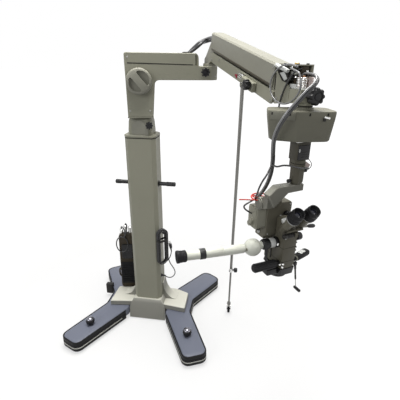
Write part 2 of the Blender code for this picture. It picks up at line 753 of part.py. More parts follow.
def pole_lower(name):
    """The thin lower rod with the castor fork."""
    foot = -POLE_REACH
    profile = ((0.011, foot + 0.046), (0.011, foot + 0.070), (ROD_RADIUS, foot + 0.078), (ROD_RADIUS, -POLE_SPLIT + 0.180))
    obj = lathe(name, profile, 12)
    bridge = block("bridge", (-0.0135, -0.010, foot + 0.036), (0.0135, 0.010, foot + 0.048))
    cheeks = []
    for way in (-1, 1):
        side = way * 0.012
        cheeks.append(block("cheek", (side - 0.0015, -0.009, foot - 0.009), (side + 0.0015, 0.009, foot + 0.040)))
    union(obj, bridge, *cheeks)
    hole = lathe("axle", ((AXLE_RADIUS + GAP, -0.03), (AXLE_RADIUS + GAP, 0.03)), 12, "x")
    cut(obj, shifted(hole, 0, 0, foot))
    placed(obj, pole_frame())
    return coat(on_axis(obj, POLE_PIN - POLE_SPLIT * POLE_UP), "steel")


def pole_wheel(name):
    radius, half, axle = 0.026, 0.008, 0.0130
    profile = ((AXLE_RADIUS, -axle), (AXLE_RADIUS, -half), (radius - 0.004, -half), (radius, -half + 0.004),
               (radius, half - 0.004), (radius - 0.004, half), (AXLE_RADIUS, half), (AXLE_RADIUS, axle))
    obj = shifted(lathe(name, profile, 12, "x"), 0, 0, -POLE_REACH)
    return coat(on_axis(placed(obj, pole_frame()), POLE_FOOT), "black")


# Wrist


def wrist_frame(name):
    """The open frame at the end of the spring arm, with its tongue between the links."""
    x = WRIST_ALONG
    upper, lower = UPPER_PIVOT_Z - LINK_DROP, LOWER_PIVOT_Z - LINK_DROP
    tongue = ((x - 0.012, lower - 0.008), (x + 0.034, lower - 0.008), (x + 0.034, upper + 0.020), (x - 0.010, upper + 0.020),
              (x - 0.016, upper + 0.008))
    obj = prism(name, tongue, -TONGUE_HALF_WIDTH, TONGUE_HALF_WIDTH, "xz")
    start, front, w, t = WRIST_START, WRIST_FRONT, LINK_HALF_WIDTH, 0.005
    low, under, sill, roof = lower - 0.009, SUSPENSION_TOP + 0.009, SUSPENSION_TOP + 0.046, upper + 0.0368
    step, back = start + 0.088, start + 0.112
    near = ((start, low), (front, under), (front, sill), (step, sill), (start + 0.010, upper + 0.020), (start, upper + 0.020))
    far = ((start, low), (back, under - 0.005), (back, roof - 0.0005), (start, roof - 0.0005))
    base = ((start, low), (front, under), (front, sill), (step, sill), (step, WRIST_FLOOR), (start, WRIST_FLOOR - 0.012))
    others = [
        prism("near", near, -w, -w + t, "xz"),
        prism("far", far, w - t, w, "xz"),
        prism("base", base, -w + 0.001, w - 0.001, "xz"),
        block("top", (start, -w + 0.002, roof - 0.004), (back, w, roof)),
    ]
    boss = lathe("boss", ((0.0225, SUSPENSION_TOP + GAP), (0.0225, under + 0.0025)), 20)
    pins = [shifted(boss, SUSPENSION_ALONG, 0, 0)]
    for z in (upper, lower):
        pin = lathe("pin", ((PIN_RADIUS, -w), (PIN_RADIUS, w)), 12, "y")
        pins.append(shifted(pin, x, 0, z))
    union(obj, *others, *pins)
    return coat(on_axis(placed(obj, FORE), FORE @ Vector((x, 0, upper))), "paint_beige")


WRIST_FLOOR = SUSPENSION_TOP + 0.019


def wrist_rods(name):
    """Bright rods and connectors seen inside the open frame."""
    start, low = WRIST_START, WRIST_FLOOR - 0.0002
    obj = block(name, (start + 0.040, -0.020, low), (start + 0.082, 0.020, low + 0.018))
    can = lathe("can", ((0.012, low + 0.008), (0.012, low + 0.068), (0.009, low + 0.072)), 16)
    shifted(can, start + 0.062, 0.006, 0)
    slope = Matrix.Translation((start + 0.056, -0.012, low + 0.010)) @ Matrix.Rotation(math.radians(-48), 4, "Y")
    rod = placed(lathe("rod", ((0.0045, 0.0), (0.0045, 0.058)), 12), slope)
    union(obj, can, rod)
    return coat(placed(obj, FORE), "steel")


# Coupling box and focus column


def plan_ring(corners, z, scale=1.0, radius=0.020):
    outline = rounded([(x * scale, y * scale, radius) for x, y in corners], 2)
    return [(x, y, z) for x, y in outline]


def coupling_box(name):
    corners = ((-0.122, -0.028), (-0.033, -0.064), (0.090, -0.050), (0.086, 0.062), (-0.106, 0.066))
    rings = [
        plan_ring(corners, BOX_BOTTOM, 0.84, 0.016),
        plan_ring(corners, BOX_BOTTOM + 0.005, 0.90),
        plan_ring(corners, BOX_TOP - 0.023, 0.985),
        plan_ring(corners, BOX_TOP - 0.004, 1.0),
        plan_ring(corners, BOX_TOP, 0.985),
    ]
    obj = loft(name, rings)
    neck = lathe("neck", ((0.021, BOX_TOP - 0.008), (0.021, SUSPENSION_TOP)), 20)
    collar = lathe("collar", ((0.026, BOX_TOP - 0.008), (0.026, BOX_TOP + 0.005), (0.023, BOX_TOP + 0.007)), 20)
    union(obj, neck, collar)
    return coat(on_axis(placed(obj, BOX), AXIS_POINT + Vector((0, 0, 1.43))), "paint_dark")


def slide_plate(name):
    low, high = SLIDER_TOP + GAP, BOX_BOTTOM - 0.0008
    return coat(placed(block(name, (-0.028, -0.020, low), (0.028, 0.021, high)), HEAD), "steel")


def slider(name):
    outline = rounded_box(0.026, 0.0215, 0.003, 2)
    obj = prism(name, outline, 1.2625, SLIDER_TOP)
    panel = block("panel", (-0.004, -0.0235, 1.266), (0.024, -0.018, 1.302))
    cut(obj, panel)
    return coat(placed(obj, HEAD), "paint_dark")


def slider_panel(name):
    obj = bevelled(block(name, (-0.0035, -0.0232, 1.2665), (0.0235, -0.0183, 1.3015)), 0.001, 1)
    return coat(placed(obj, HEAD), "black")


def focus_column(name):
    """The faceted column, with a tongue that slides behind the slider."""
    rings = []
    for z, radius in ((1.1775, 0.0175), (1.187, 0.0235), (1.2615, 0.0245)):
        turns = [math.radians(22.5 + 45 * k) for k in range(8)]
        rings.append([(radius * math.cos(t), radius * math.sin(t), z) for t in turns])
    obj = loft(name, rings)
    shelf = block("shelf", (-0.012, 0.0, 1.236), (0.012, 0.031, 1.2610))
    tongue = block("tongue", (-0.012, 0.0225, 1.236), (0.012, 0.031, 1.300))
    union(obj, shelf, tongue)
    return coat(placed(obj, HEAD), "paint_dark")


def bracket(name):
    """The arm that turns under the focus column and carries the head's tilt pivot."""
    outline = ((0.024, 1.1770), (-0.080, 1.1770), (-0.113, 1.150), (-0.090, 1.106), (-0.074, 1.118), (-0.036, 1.151),
               (0.024, 1.153))
    obj = bevelled(prism(name, outline, -0.014, 0.020, "xz"), 0.002, 1)
    low, high = -0.112, -0.0785
    boss = lathe("boss", ((0.022, low), (0.022, high)), 20, "x")
    side = ((0.000, 1.100), (0.045, 1.084), (0.060, 1.106), (0.020, 1.140), (0.000, 1.140))
    link = prism("link", side, low + 0.004, high, "yz")
    union(obj, shifted(boss, 0, TILT_AT[0], TILT_AT[1]), link)
    return coat(on_axis(placed(obj, HEAD), AXIS_POINT + Vector((0, 0, 1.17))), "paint_beige")


# Head


def carrier(name):
    """The dark housing behind the microscope body, with the tilt boss."""
    outline = (
        (-0.075, 0.9680),
        (-0.032, 0.9680),
        (-0.032, BODY_TOP + GAP),
        (0.030, BODY_TOP + GAP),
        (0.030, 1.088),
        (0.024, 1.094),
        (-0.070, 1.094),
        (-0.075, 1.088),
    )
    obj = bevelled(prism(name, outline, 0.042, 0.108, "xz"), 0.002, 1)
    skirt = block("skirt", (-0.0745, 0.0530, 0.956), (-0.0325, 0.1075, 0.980))
    boss = lathe("boss", ((0.022, -0.0780), (0.022, -0.030)), 20, "x")
    union(obj, skirt, shifted(boss, 0, TILT_AT[0], TILT_AT[1]))
    return coat(on_axis(placed(obj, HEAD), HEAD @ Vector((-0.078, *TILT_AT))), "paint_dark")


def microscope_body(name):
    x = BODY_HALF_WIDTH
    corners = ((-x, BODY_FRONT, 0.006), (x, BODY_FRONT, 0.006), (x, BODY_BACK, 0.006), (-x, BODY_BACK, 0.006))
    outline = rounded(corners, 2)
    rings = []
    for z, inset in ((BODY_BOTTOM, 0.002), (BODY_BOTTOM + 0.004, 0.0), (BODY_TOP - 0.002, 0.0), (BODY_TOP, 0.002)):
        rings.append([(px, py, z) for px, py in offset(outline, -inset)])
    obj = loft(name, rings)
    return coat(placed(obj, HEAD), "paint_dark")


def lamp_housing(name):
    outline = rounded(((0.046, 1.000, 0.012), (0.104, 1.000, 0.012), (0.104, 1.086, 0.016), (0.046, 1.086, 0.016)), 3)
    obj = prism(name, outline, -0.112, -0.0755, "yz")
    plug = lathe("plug", ((0.010, -0.128), (0.010, -0.110)), 16, "x")
    union(obj, shifted(plug, 0, 0.075, 1.020))
    return coat(placed(obj, HEAD), "paint_light")


def eye_frame(side):
    tilt = Matrix.Rotation(math.radians(90) - EYE_TILT, 4, "X")
    return HEAD @ Matrix.Translation((side * EYE_SPACING, -0.060, 1.085)) @ tilt


def bino_housing(name):
    """The binocular tube: a wedge on top of the body and two inclined tubes."""
    outline = ((0.038, 0.9855), (-0.006, 0.9855), (-0.008, 1.012), (-0.026, 1.026), (-0.004, 1.056), (0.038, 1.046))
    obj = placed(bevelled(prism(name, outline, -0.034, 0.034, "yz"), 0.003, 1), HEAD)
    ear = placed(block("ear", (-0.001, -0.033, 0.9858), (0.011, -0.003, 1.0025)), HEAD)
    tubes = []
    for side in (-1, 1):
        profile = ((0.0160, -0.095), (0.0160, -0.032), (0.0210, -0.030), (0.0210, -0.0235))
        tubes.append(placed(lathe("tube", profile, 16), eye_frame(side)))
    union(obj, ear, *tubes)
    return coat(obj, "paint_dark")


def eyecup(name, side):
    profile = ((0.0225, -0.0230), (0.0245, -0.019), (0.0245, 0.000), (0.0225, 0.003), (0.0225, 0.012), (0.0200, 0.0225),
               (0.0150, 0.0225), (0.0120, 0.008))
    obj = lathe(name, profile, 16)
    frame = eye_frame(side)
    return coat(on_axis(placed(obj, frame), frame @ Vector((0, 0, 0))), "black")


def head_part(obj, slot, point=None):
    """Places a part made in the head's frame, with its origin on the given point of that frame."""
    placed(obj, HEAD)
    if point is not None:
        on_axis(obj, HEAD @ Vector(point))
    return coat(obj, slot)


def distance_lever(name):
    y, z = 0.010, 1.004
    obj = shifted(lathe(name, ((0.008, 0.0345), (0.008, 0.046)), 16, "x"), 0, y, z)
    arm = bevelled(block("arm", (0.036, y - 0.006, z - 0.004), (0.082, y + 0.006, z + 0.004)), 0.0015, 1)
    profile = ((0.0045, 0.080), (0.0045, 0.090), (0.0070, 0.096), (0.0078, 0.112), (0.0050, 0.120))
    handle = shifted(lathe("handle", profile, 12, "x"), 0, y, z)
    union(obj, arm, handle)
    return head_part(obj, "black", (0.0345, y, z))


def zoom_knob(name):
    profile = ((0.0070, 0.0305), (0.0070, 0.037), (0.0140, 0.038), (0.0145, 0.041), (0.0145, 0.053), (0.0125, 0.056))
    obj = shifted(lathe(name, profile, 16, "x"), 0, 0.006, 0.966)
    return head_part(obj, "black", (0.0305, 0.006, 0.966))


def front_knob(name):
    """The short roller in front of the binocular tube."""
    y, z = -0.024, 0.994
    profile = ((0.0065, -0.047), (0.0085, -0.045), (0.0085, -0.010), (0.0060, -0.008), (0.0060, -0.0015))
    obj = shifted(lathe(name, profile, 16, "x"), 0, y, z)
    return head_part(obj, "black", (-0.0015, y, z))


def grip_left(name):
    """The ribbed grip on the user's left."""
    rings = []
    for x, radius, wavy in ((-0.0305, 0.009, 0), (-0.044, 0.009, 0), (-0.045, 0.0155, 1), (-0.136, 0.0165, 1), (-0.140, 0.0130, 1)):
        ring = []
        for k in range(24):
            turn = 2 * math.pi * k / 24
            size = radius * (1 - 0.08 * wavy * (k % 3 == 0))
            ring.append((x, size * math.cos(turn), size * math.sin(turn)))
        rings.append(ring)
    obj = shifted(loft(name, rings), 0, 0.007, 0.870)
    return head_part(obj, "black", (-0.0305, 0.007, 0.870))


def grip_right(name):
    """The smooth flattened grip on the user's right, set slightly back."""
    rings = []
    sections = ((0.0, 0.008, 0.007), (0.012, 0.008, 0.007), (0.015, 0.013, 0.0105), (0.082, 0.0155, 0.0115), (0.092, 0.010, 0.008))
    for x, y, z in sections:
        rings.append([(x, py, pz) for py, pz in rounded_box(y, z, z * 0.6)])
    obj = loft(name, rings)
    placed(obj, Matrix.Translation((0.0345, 0.003, 0.872)) @ Matrix.Rotation(math.radians(18), 4, "Z"))
    stub = shifted(lathe("stub", ((0.0065, 0.0305), (0.0065, 0.040)), 16, "x"), 0, 0.004, 0.872)
    union(obj, stub)
    return head_part(obj, "rubber", (0.0305, 0.004, 0.872))


def objective(name):
    top = BODY_BOTTOM - GAP
    profile = ((0.040, top), (0.040, 0.824), (0.035, 0.803), (0.033, 0.800), (0.027, 0.800), (0.025, 0.810))
    obj = shifted(lathe(name, profile), -0.003, 0.045, 0)
    lug = bevelled(block("lug", (-0.078, 0.004, 0.824), (-0.026, 0.050, top)), 0.003, 1)
    union(obj, lug)
    return head_part(obj, "black")


def swing_rod(name):
    x, y = 0.039, -0.004
    obj = bevelled(block(name, (0.0305, y - 0.006, 0.850), (x + 0.005, y + 0.005, 0.8635)), 0.0015, 1)
    rod = lathe("rod", ((0.0035, -0.072), (0.0035, 0.000)), 12)
    wire = lathe("wire", ((0.0016, -0.114), (0.0016, -0.070)), 10)
    bar = lathe("bar", ((0.0055, -0.018), (0.0060, -0.015), (0.0060, 0.013), (0.0045, 0.015)), 12, "y")
    shifted(bar, 0, -0.006, -0.116)
    lean = Matrix.Translation((x, y, 0.856)) @ Matrix.Rotation(-SWING_ROD_LEAN, 4, "Y")
    union(obj, *(placed(piece, lean) for piece in (rod, wire, bar)))
    return head_part(obj, "black", (0.0305, y, 0.859))


PORT_Y = 0.030
PORT_Z = 0.946
BALL_AT = (-0.129, 0.036, 0.941)
BALL_RADIUS = 0.032
TUBE_LENGTH = 0.2435


def port_part(name, profile, slot, steps=16):
    obj = shifted(lathe(name, profile, steps, "x"), 0, PORT_Y, PORT_Z)
    return head_part(obj, slot, (profile[-1][1], PORT_Y, PORT_Z))


def observer_port(name):
    return port_part(name, ((0.0195, -0.0430), (0.0205, -0.0420), (0.0205, -0.0305)), "black")


def observer_ring(name):
    return port_part(name, ((0.0175, -0.0660), (0.0180, -0.0650), (0.0180, -0.0445), (0.0175, -0.0435)), "white")


def observer_collar(name):
    profile = ((0.0150, -0.0955), (0.0195, -0.0900), (0.0205, -0.0850), (0.0205, -0.0720), (0.0190, -0.0665))
    obj = shifted(lathe(name, profile, axis="x"), 0, PORT_Y, PORT_Z)
    y, z = PORT_Y, PORT_Z
    route = ((-0.080, y - 0.010, z - 0.014), (-0.083, y - 0.016, z - 0.034), (-0.088, y - 0.018, z - 0.052))
    lever = tube_mesh("lever", route, (0.0055, 0.0050, 0.0065))
    union(obj, lever)
    return head_part(obj, "black", (-0.0665, PORT_Y, PORT_Z))


def tube_mesh(name, route, radii, steps=10):
    """A rod with its own radius at each point of a nearly straight route."""
    rings = []
    for k, place in enumerate(route):
        low = Vector(route[max(k - 1, 0)])
        high = Vector(route[min(k + 1, len(route) - 1)])
        turn = (high - low).to_track_quat("Z", "Y")
        ring = []
        for i in range(steps):
            angle = 2 * math.pi * i / steps
            across = Vector((radii[k] * math.cos(angle), radii[k] * math.sin(angle), 0))
            ring.append(tuple(Vector(place) + turn @ across))
        rings.append(ring)
    return loft(name, rings)


def observer_frame():
    return Matrix.Translation(HEAD @ Vector(BALL_AT)) @ Matrix.Rotation(OBSERVER_TURN, 4, "Z")


def observer_ball(name):
    r = BALL_RADIUS
    profile = [(0, -r)]
    for k in range(1, 12):
        angle = math.radians(-90 + 15 * k)
        profile.append((r * math.cos(angle), r * math.sin(angle)))
    profile.append((0, r))
    obj = shifted(lathe(name, profile, 28), *BALL_AT)
    neck = shifted(lathe("neck", ((0.013, -0.116), (0.013, -0.0960)), 16, "x"), 0, PORT_Y, PORT_Z)
    union(obj, neck)
    return head_part(obj, "white", (-0.0960, PORT_Y, PORT_Z))


def observer_tube(name):
    r = BALL_RADIUS
    profile = ((0.0150, r + GAP), (0.0165, 0.040), (0.0172, 0.060), (0.0172, 0.176), (0.0190, 0.178), (0.0190, 0.196),
               (0.0172, 0.198), (0.0165, TUBE_LENGTH))
    obj = placed(lathe(name, profile, axis="x"), observer_frame())
    return coat(on_axis(obj, observer_frame() @ Vector((0, 0, 0))), "white")


def observer_eyecup(name):
    start = TUBE_LENGTH + GAP
    profile = ((0.0180, start), (0.0205, start + 0.0035), (0.0205, start + 0.0215), (0.0220, start + 0.0255), (0.0220, start + 0.0335),
               (0.0190, start + 0.0345), (0.0110, start + 0.0195))
    obj = placed(lathe(name, profile, 16, "x"), observer_frame())
    return coat(on_axis(obj, observer_frame() @ Vector((start, 0, 0))), "black")


# Cables

# The route of the cable from the wrist to the lamp housing, as seen from the suspension's axis
CABLE_MAIN = (
    (-0.0122, 0.0180, 1.5140),
    (-0.0042, 0.0060, 1.5230),
    (0.0068, -0.0100, 1.5220),
    (0.0188, -0.0280, 1.5170),
    (0.0208, -0.0460, 1.5070),
    (0.0098, -0.0620, 1.4920),
    (-0.0102, -0.0740, 1.4730),
    (-0.0312, -0.0840, 1.4490),
    (-0.0582, -0.0900, 1.4140),
    (-0.0782, -0.0840, 1.3760),
    (-0.0872, -0.0720, 1.3370),
    (-0.0862, -0.0560, 1.3000),
    (-0.0822, -0.0320, 1.2620),
    (-0.0822, -0.0080, 1.2160),
    (-0.0882, 0.0120, 1.1750),
    (-0.1012, 0.0200, 1.1400),
    (-0.1192, 0.0150, 1.1120),
    (-0.1192, 0.0150, 1.0866),
)


def bodies():
    leg("leg_left", -1)
    leg("leg_right", 1)
    bumper("bumper_left", -1)
    bumper("bumper_right", 1)
    jack("jack_left", -1)
    jack("jack_right", 1)
    wheel("wheel_front_left", -1, WHEEL_SPOTS[0])
    wheel("wheel_front_right", 1, WHEEL_SPOTS[0])
    wheel("wheel_rear_left", -1, WHEEL_SPOTS[1])
    wheel("wheel_rear_right", 1, WHEEL_SPOTS[1])
    hub("hub")
    column("column")
    column_cap("column_cap")
    pegs("pegs")
    socket("swivel_socket")
    pedal("foot_pedal")
    cord_hank("cord_hank")
    knob_at("arm_lock_knob", Matrix.Identity(4), ARM_LOCK_AT, -72, 0.0205, 0.024)
    first_arm("first_arm")
    tension_knob("tension_knob")
    knob_at("yoke_lock_knob", ARM, (0.330, -0.0760, 1.508), -90, 0.0225, 0.026)
    yoke("yoke")
    upper_link("upper_link")
    lower_link("lower_link")
    clamp("clamp")
    knob_at("clamp_knob", link_frame(LOWER_PIVOT_Z), (CLAMP_KNOB[0], -CLAMP_FACE - GAP, CLAMP_KNOB[1]), -90, 0.0200, 0.026)
    pole_upper("pole_upper")
    pole_lower("pole_lower")
    pole_wheel("pole_wheel")
    wrist_frame("wrist_frame")
    wrist_rods("wrist_rods")
    knob_at("wrist_knob", FORE, (WRIST_FRONT + GAP, 0.0, SUSPENSION_TOP + 0.030), 0, 0.0260, 0.040)
    coupling_box("coupling_box")
    slide_plate("slide_plate")
    slider("slider")
    slider_panel("slider_panel")
    focus_column("focus_column")
    knob_at("focus_knob", HEAD, (0.0232, -0.002, 1.222), 0, 0.0085, 0.012)
    bracket("bracket")
    knob_at("bracket_knob", HEAD, (-0.0224, -0.001, 1.1900), 180, 0.0070, 0.014)
    carrier("carrier")
    microscope_body("microscope_body")
    lamp_housing("lamp_housing")
    bino_housing("bino_housing")
    eyecup("eyecup_left", -1)
    eyecup("eyecup_right", 1)
    distance_lever("distance_lever")
    zoom_knob("zoom_knob")
    front_knob("front_knob")
    grip_left("grip_left")
    grip_right("grip_right")
    objective("objective")
    swing_rod("swing_rod")
    observer_port("observer_port")
    observer_ring("observer_ring")
    observer_collar("observer_collar")
    observer_ball("observer_ball")
    observer_tube("observer_tube")
    observer_eyecup("observer_eyecup")
    route = [AXIS_POINT + Vector(place) for place in CABLE_MAIN]
    coat(tube("cable_main", smooth_route(route, 2), 0.0046, 2), "cable")


def main():
    clear_scene()
    bodies()


main()
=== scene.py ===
"""The looks of a floor-standing surgical microscope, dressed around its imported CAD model. Metres, +Z up."""

import json
import math

import bmesh
import bpy
from mathutils import Matrix, Vector

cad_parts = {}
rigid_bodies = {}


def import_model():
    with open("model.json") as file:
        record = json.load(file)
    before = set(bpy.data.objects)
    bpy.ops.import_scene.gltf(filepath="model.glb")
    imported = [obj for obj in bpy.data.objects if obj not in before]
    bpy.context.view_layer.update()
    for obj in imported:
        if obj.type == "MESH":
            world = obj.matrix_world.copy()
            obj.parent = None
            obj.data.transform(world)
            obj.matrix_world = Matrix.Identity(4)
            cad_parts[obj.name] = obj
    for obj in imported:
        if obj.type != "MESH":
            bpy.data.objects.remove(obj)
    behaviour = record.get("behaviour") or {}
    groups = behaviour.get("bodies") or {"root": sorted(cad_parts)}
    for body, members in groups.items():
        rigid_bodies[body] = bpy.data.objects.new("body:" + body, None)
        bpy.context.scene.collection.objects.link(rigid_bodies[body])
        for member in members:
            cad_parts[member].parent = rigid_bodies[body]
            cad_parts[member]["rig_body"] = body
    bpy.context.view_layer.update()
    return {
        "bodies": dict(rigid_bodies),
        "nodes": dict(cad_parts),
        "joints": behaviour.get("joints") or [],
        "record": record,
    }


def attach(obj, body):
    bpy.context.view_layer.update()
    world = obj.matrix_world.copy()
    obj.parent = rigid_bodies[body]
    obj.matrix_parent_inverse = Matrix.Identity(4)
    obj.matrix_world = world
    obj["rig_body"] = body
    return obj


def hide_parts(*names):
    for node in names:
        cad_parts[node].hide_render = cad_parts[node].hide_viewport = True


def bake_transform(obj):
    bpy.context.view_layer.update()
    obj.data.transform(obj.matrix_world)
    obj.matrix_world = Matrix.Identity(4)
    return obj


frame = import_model()
NODES = frame["nodes"]

# Placing frames and sizes, the same as in the CAD source

ARM_TURN = math.radians(17.7)
YOKE_REACH = 0.375
FOREARM_TURN = math.radians(-63.96)
LINK_SLOPE = math.radians(12.1)
LINK_LENGTH = 0.636
LINK_HALF_WIDTH = 0.032
PIVOT_ALONG = 0.1
UPPER_PIVOT_Z = 1.647
LOWER_PIVOT_Z = 1.567
SUSPENSION_ALONG = 0.886
HEAD_TURN = math.radians(32.0)
BOX_TURN = math.radians(8.2)
ARM_HALF_DEPTH = 0.075
CLAMP_FACE = LINK_HALF_WIDTH + 0.019
BODY_BOTTOM = 0.848
EYE_SPACING = 0.032
EYE_TILT = math.radians(52.0)
OBSERVER_TURN = math.radians(-156.3)
PORT_Y = 0.03
PORT_Z = 0.946
BALL_AT = (-0.129, 0.036, 0.941)
BALL_RADIUS = 0.032
POLE_PIN_SIDE = -CLAMP_FACE - 0.011
POLE_FOOT = Vector((0.515, 0.0594, 0.0268))
POLE_SPLIT = 1.13
LEG_CORNERS = (
    (0.122, -0.1, 0.01), (0.308, -0.444, 0.035), (0.427, -0.39, 0.035), (0.274, -0.072, 0.03),
    (0.274, 0.05, 0.03), (0.427, 0.31, 0.04), (0.317, 0.388, 0.04), (0.15, 0.138, 0.02),
    (0.122, 0.11, 0.01),
)
JACK_AT = (0.296, -0.28)
COLUMN_SIDE = 0.0858
PEG_AT = (-0.02, 0.912)
ARM_LOCK_AT = (0.0556, -0.0521, 1.2455)
BOX_BOTTOM = 1.328
BOX_TOP = 1.42
BOX_LEFT = (-0.122, -0.028)
BOX_MIDDLE = (-0.033, -0.064)
BOX_RIGHT = (0.09, -0.05)
WRIST_FRONT = 0.90613
TUBE_END = 0.2435
SWING_ROD_LEAN = math.radians(9.0)

IDENTITY = Matrix.Identity(4)
ARM = Matrix.Rotation(ARM_TURN, 4, "Z")
YOKE_POINT = ARM @ Vector((YOKE_REACH, 0.0, 0.0))
FORE = Matrix.Translation(YOKE_POINT) @ Matrix.Rotation(FOREARM_TURN, 4, "Z")
AXIS_POINT = FORE @ Vector((SUSPENSION_ALONG, 0.0, 0.0))
HEAD = Matrix.Translation(AXIS_POINT) @ Matrix.Rotation(HEAD_TURN, 4, "Z")
BOX = Matrix.Translation(AXIS_POINT) @ Matrix.Rotation(BOX_TURN, 4, "Z")
HANK = Matrix.Translation((0.105, -0.052, 0.402)) @ Matrix.Rotation(math.radians(45), 4, "Z")
PEDAL = Matrix.Translation((-0.168, 0.088, 0.1155)) @ Matrix.Rotation(math.radians(12), 4, "Z")


def link_frame(pivot_z):
    return FORE @ Matrix.Translation((PIVOT_ALONG, 0.0, pivot_z)) @ Matrix.Rotation(LINK_SLOPE, 4, "Y")


def eye_frame(side):
    tilt = Matrix.Rotation(math.radians(90) - EYE_TILT, 4, "X")
    return HEAD @ Matrix.Translation((side * EYE_SPACING, -0.06, 1.085)) @ tilt


def observer_frame():
    return Matrix.Translation(HEAD @ Vector(BALL_AT)) @ Matrix.Rotation(OBSERVER_TURN, 4, "Z")


CLAMP_PIN = (0.458, 0.004)
CLAMP_KNOB = (0.502, 0.016)
POLE_PIN = link_frame(LOWER_PIVOT_Z) @ Vector((CLAMP_PIN[0], POLE_PIN_SIDE, CLAMP_PIN[1]))
POLE_UP = (POLE_PIN - POLE_FOOT).normalized()
POLE_REACH = (POLE_PIN - POLE_FOOT).length


def pole_frame():
    across = Vector((0, 0, 1)).cross(POLE_UP).normalized()
    third = POLE_UP.cross(across)
    turn = Matrix((across, third, POLE_UP)).transposed().to_4x4()
    return Matrix.Translation(POLE_PIN) @ turn


# Camera, floor and light

EYE = Vector((0.5827, -1.8137, 1.5511))
YAW = 0.1425
PITCH = 0.3801
ROLL = 0.0111
FOCAL_PIXELS = 342.76
PICTURE_PIXELS = 400


def make_camera():
    forward = Vector(
        (-math.sin(YAW) * math.cos(PITCH), math.cos(YAW) * math.cos(PITCH), -math.sin(PITCH)),
    )
    right = Vector((math.cos(YAW), math.sin(YAW), 0.0))
    up = right.cross(forward)
    across = right * math.cos(ROLL) + up * math.sin(ROLL)
    upward = up * math.cos(ROLL) - right * math.sin(ROLL)
    data = bpy.data.cameras.new("camera")
    data.sensor_width = 36.0
    data.sensor_fit = "HORIZONTAL"
    data.lens = data.sensor_width * FOCAL_PIXELS / PICTURE_PIXELS
    camera = bpy.data.objects.new("camera", data)
    bpy.context.scene.collection.objects.link(camera)
    turn = Matrix((across, upward, -forward)).transposed().to_4x4()
    camera.matrix_world = Matrix.Translation(EYE) @ turn
    bpy.context.scene.camera = camera


def area_light(name, place, target, size, power, colour=(1.0, 1.0, 1.0)):
    data = bpy.data.lights.new(name, "AREA")
    data.shape = "DISK"
    data.size = size
    data.energy = power
    data.color = colour
    light = bpy.data.objects.new(name, data)
    bpy.context.scene.collection.objects.link(light)
    light.location = place
    light.rotation_euler = (Vector(target) - Vector(place)).to_track_quat("-Z", "Y").to_euler()


def seen_directly(tree):
    """1 for rays that show the surround itself: from the camera, in gloss and through glass."""
    path = tree.nodes.new("ShaderNodeLightPath")
    total = path.outputs["Is Camera Ray"]
    for name in ("Is Glossy Ray", "Is Transmission Ray"):
        most = tree.nodes.new("ShaderNodeMath")
        most.operation = "MAXIMUM"
        tree.links.new(total, most.inputs[0])
        tree.links.new(path.outputs[name], most.inputs[1])
        total = most.outputs[0]
    return total


def make_world():
    bpy.context.scene.view_settings.view_transform = "Standard"
    world = bpy.data.worlds.new("studio")
    world.use_nodes = True
    tree = world.node_tree
    tree.nodes.clear()
    out = tree.nodes.new("ShaderNodeOutputWorld")
    mix = tree.nodes.new("ShaderNodeMixShader")
    for socket, colour, strength in ((1, (0.97, 0.98, 1.0), 0.34), (2, (1.0, 1.0, 1.0), 1.0)):
        sky = tree.nodes.new("ShaderNodeBackground")
        sky.inputs["Color"].default_value = (*colour, 1.0)
        sky.inputs["Strength"].default_value = strength
        tree.links.new(sky.outputs[0], mix.inputs[socket])
    tree.links.new(seen_directly(tree), mix.inputs[0])
    tree.links.new(mix.outputs[0], out.inputs["Surface"])
    bpy.context.scene.world = world


def make_floor():
    """A white floor whose own glow grows further out, so that it looks white and keeps a soft shadow."""
    mesh = bpy.data.meshes.new("floor")
    half = 60.0
    mesh.from_pydata(
        [(-half, -half, 0), (half, -half, 0), (half, half, 0), (-half, half, 0)], [], [(0, 1, 2, 3)],
    )
    floor = bpy.data.objects.new("floor", mesh)
    bpy.context.scene.collection.objects.link(floor)
    material = bpy.data.materials.new("floor_white")
    material.use_nodes = True
    tree = material.node_tree
    tree.nodes.clear()
    out = tree.nodes.new("ShaderNodeOutputMaterial")
    diffuse = tree.nodes.new("ShaderNodeBsdfDiffuse")
    diffuse.inputs["Color"].default_value = (0.3, 0.3, 0.3, 1.0)
    glow = tree.nodes.new("ShaderNodeEmission")
    glow.inputs["Color"].default_value = (1.0, 1.0, 1.0, 1.0)
    place = tree.nodes.new("ShaderNodeTexCoord")
    away = tree.nodes.new("ShaderNodeVectorMath")
    away.operation = "LENGTH"
    tree.links.new(place.outputs["Object"], away.inputs[0])
    ramp = tree.nodes.new("ShaderNodeMapRange")
    for key, value in (("From Min", 1.0), ("From Max", 4.5), ("To Min", 0.6), ("To Max", 0.96)):
        ramp.inputs[key].default_value = value
    tree.links.new(away.outputs["Value"], ramp.inputs["Value"])
    strength = tree.nodes.new("ShaderNodeMath")
    strength.operation = "MULTIPLY"
    tree.links.new(seen_directly(tree), strength.inputs[0])
    tree.links.new(ramp.outputs["Result"], strength.inputs[1])
    tree.links.new(strength.outputs[0], glow.inputs["Strength"])
    add = tree.nodes.new("ShaderNodeAddShader")
    tree.links.new(diffuse.outputs[0], add.inputs[0])
    tree.links.new(glow.outputs[0], add.inputs[1])
    tree.links.new(add.outputs[0], out.inputs["Surface"])
    mesh.materials.append(material)


def make_lights():
    area_light("above", (0.3, -0.1, 4.4), (0.35, -0.3, 0.6), 2.6, 215.0, (1.0, 0.99, 0.96))
    area_light("right", (3.8, -1.0, 2.6), (0.3, -0.2, 0.9), 1.6, 18.0, (1.0, 0.96, 0.92))
    area_light("left", (-2.2, -3.8, 2.8), (0.1, -0.2, 0.9), 2.4, 58.0, (0.98, 0.99, 1.0))


# Materials


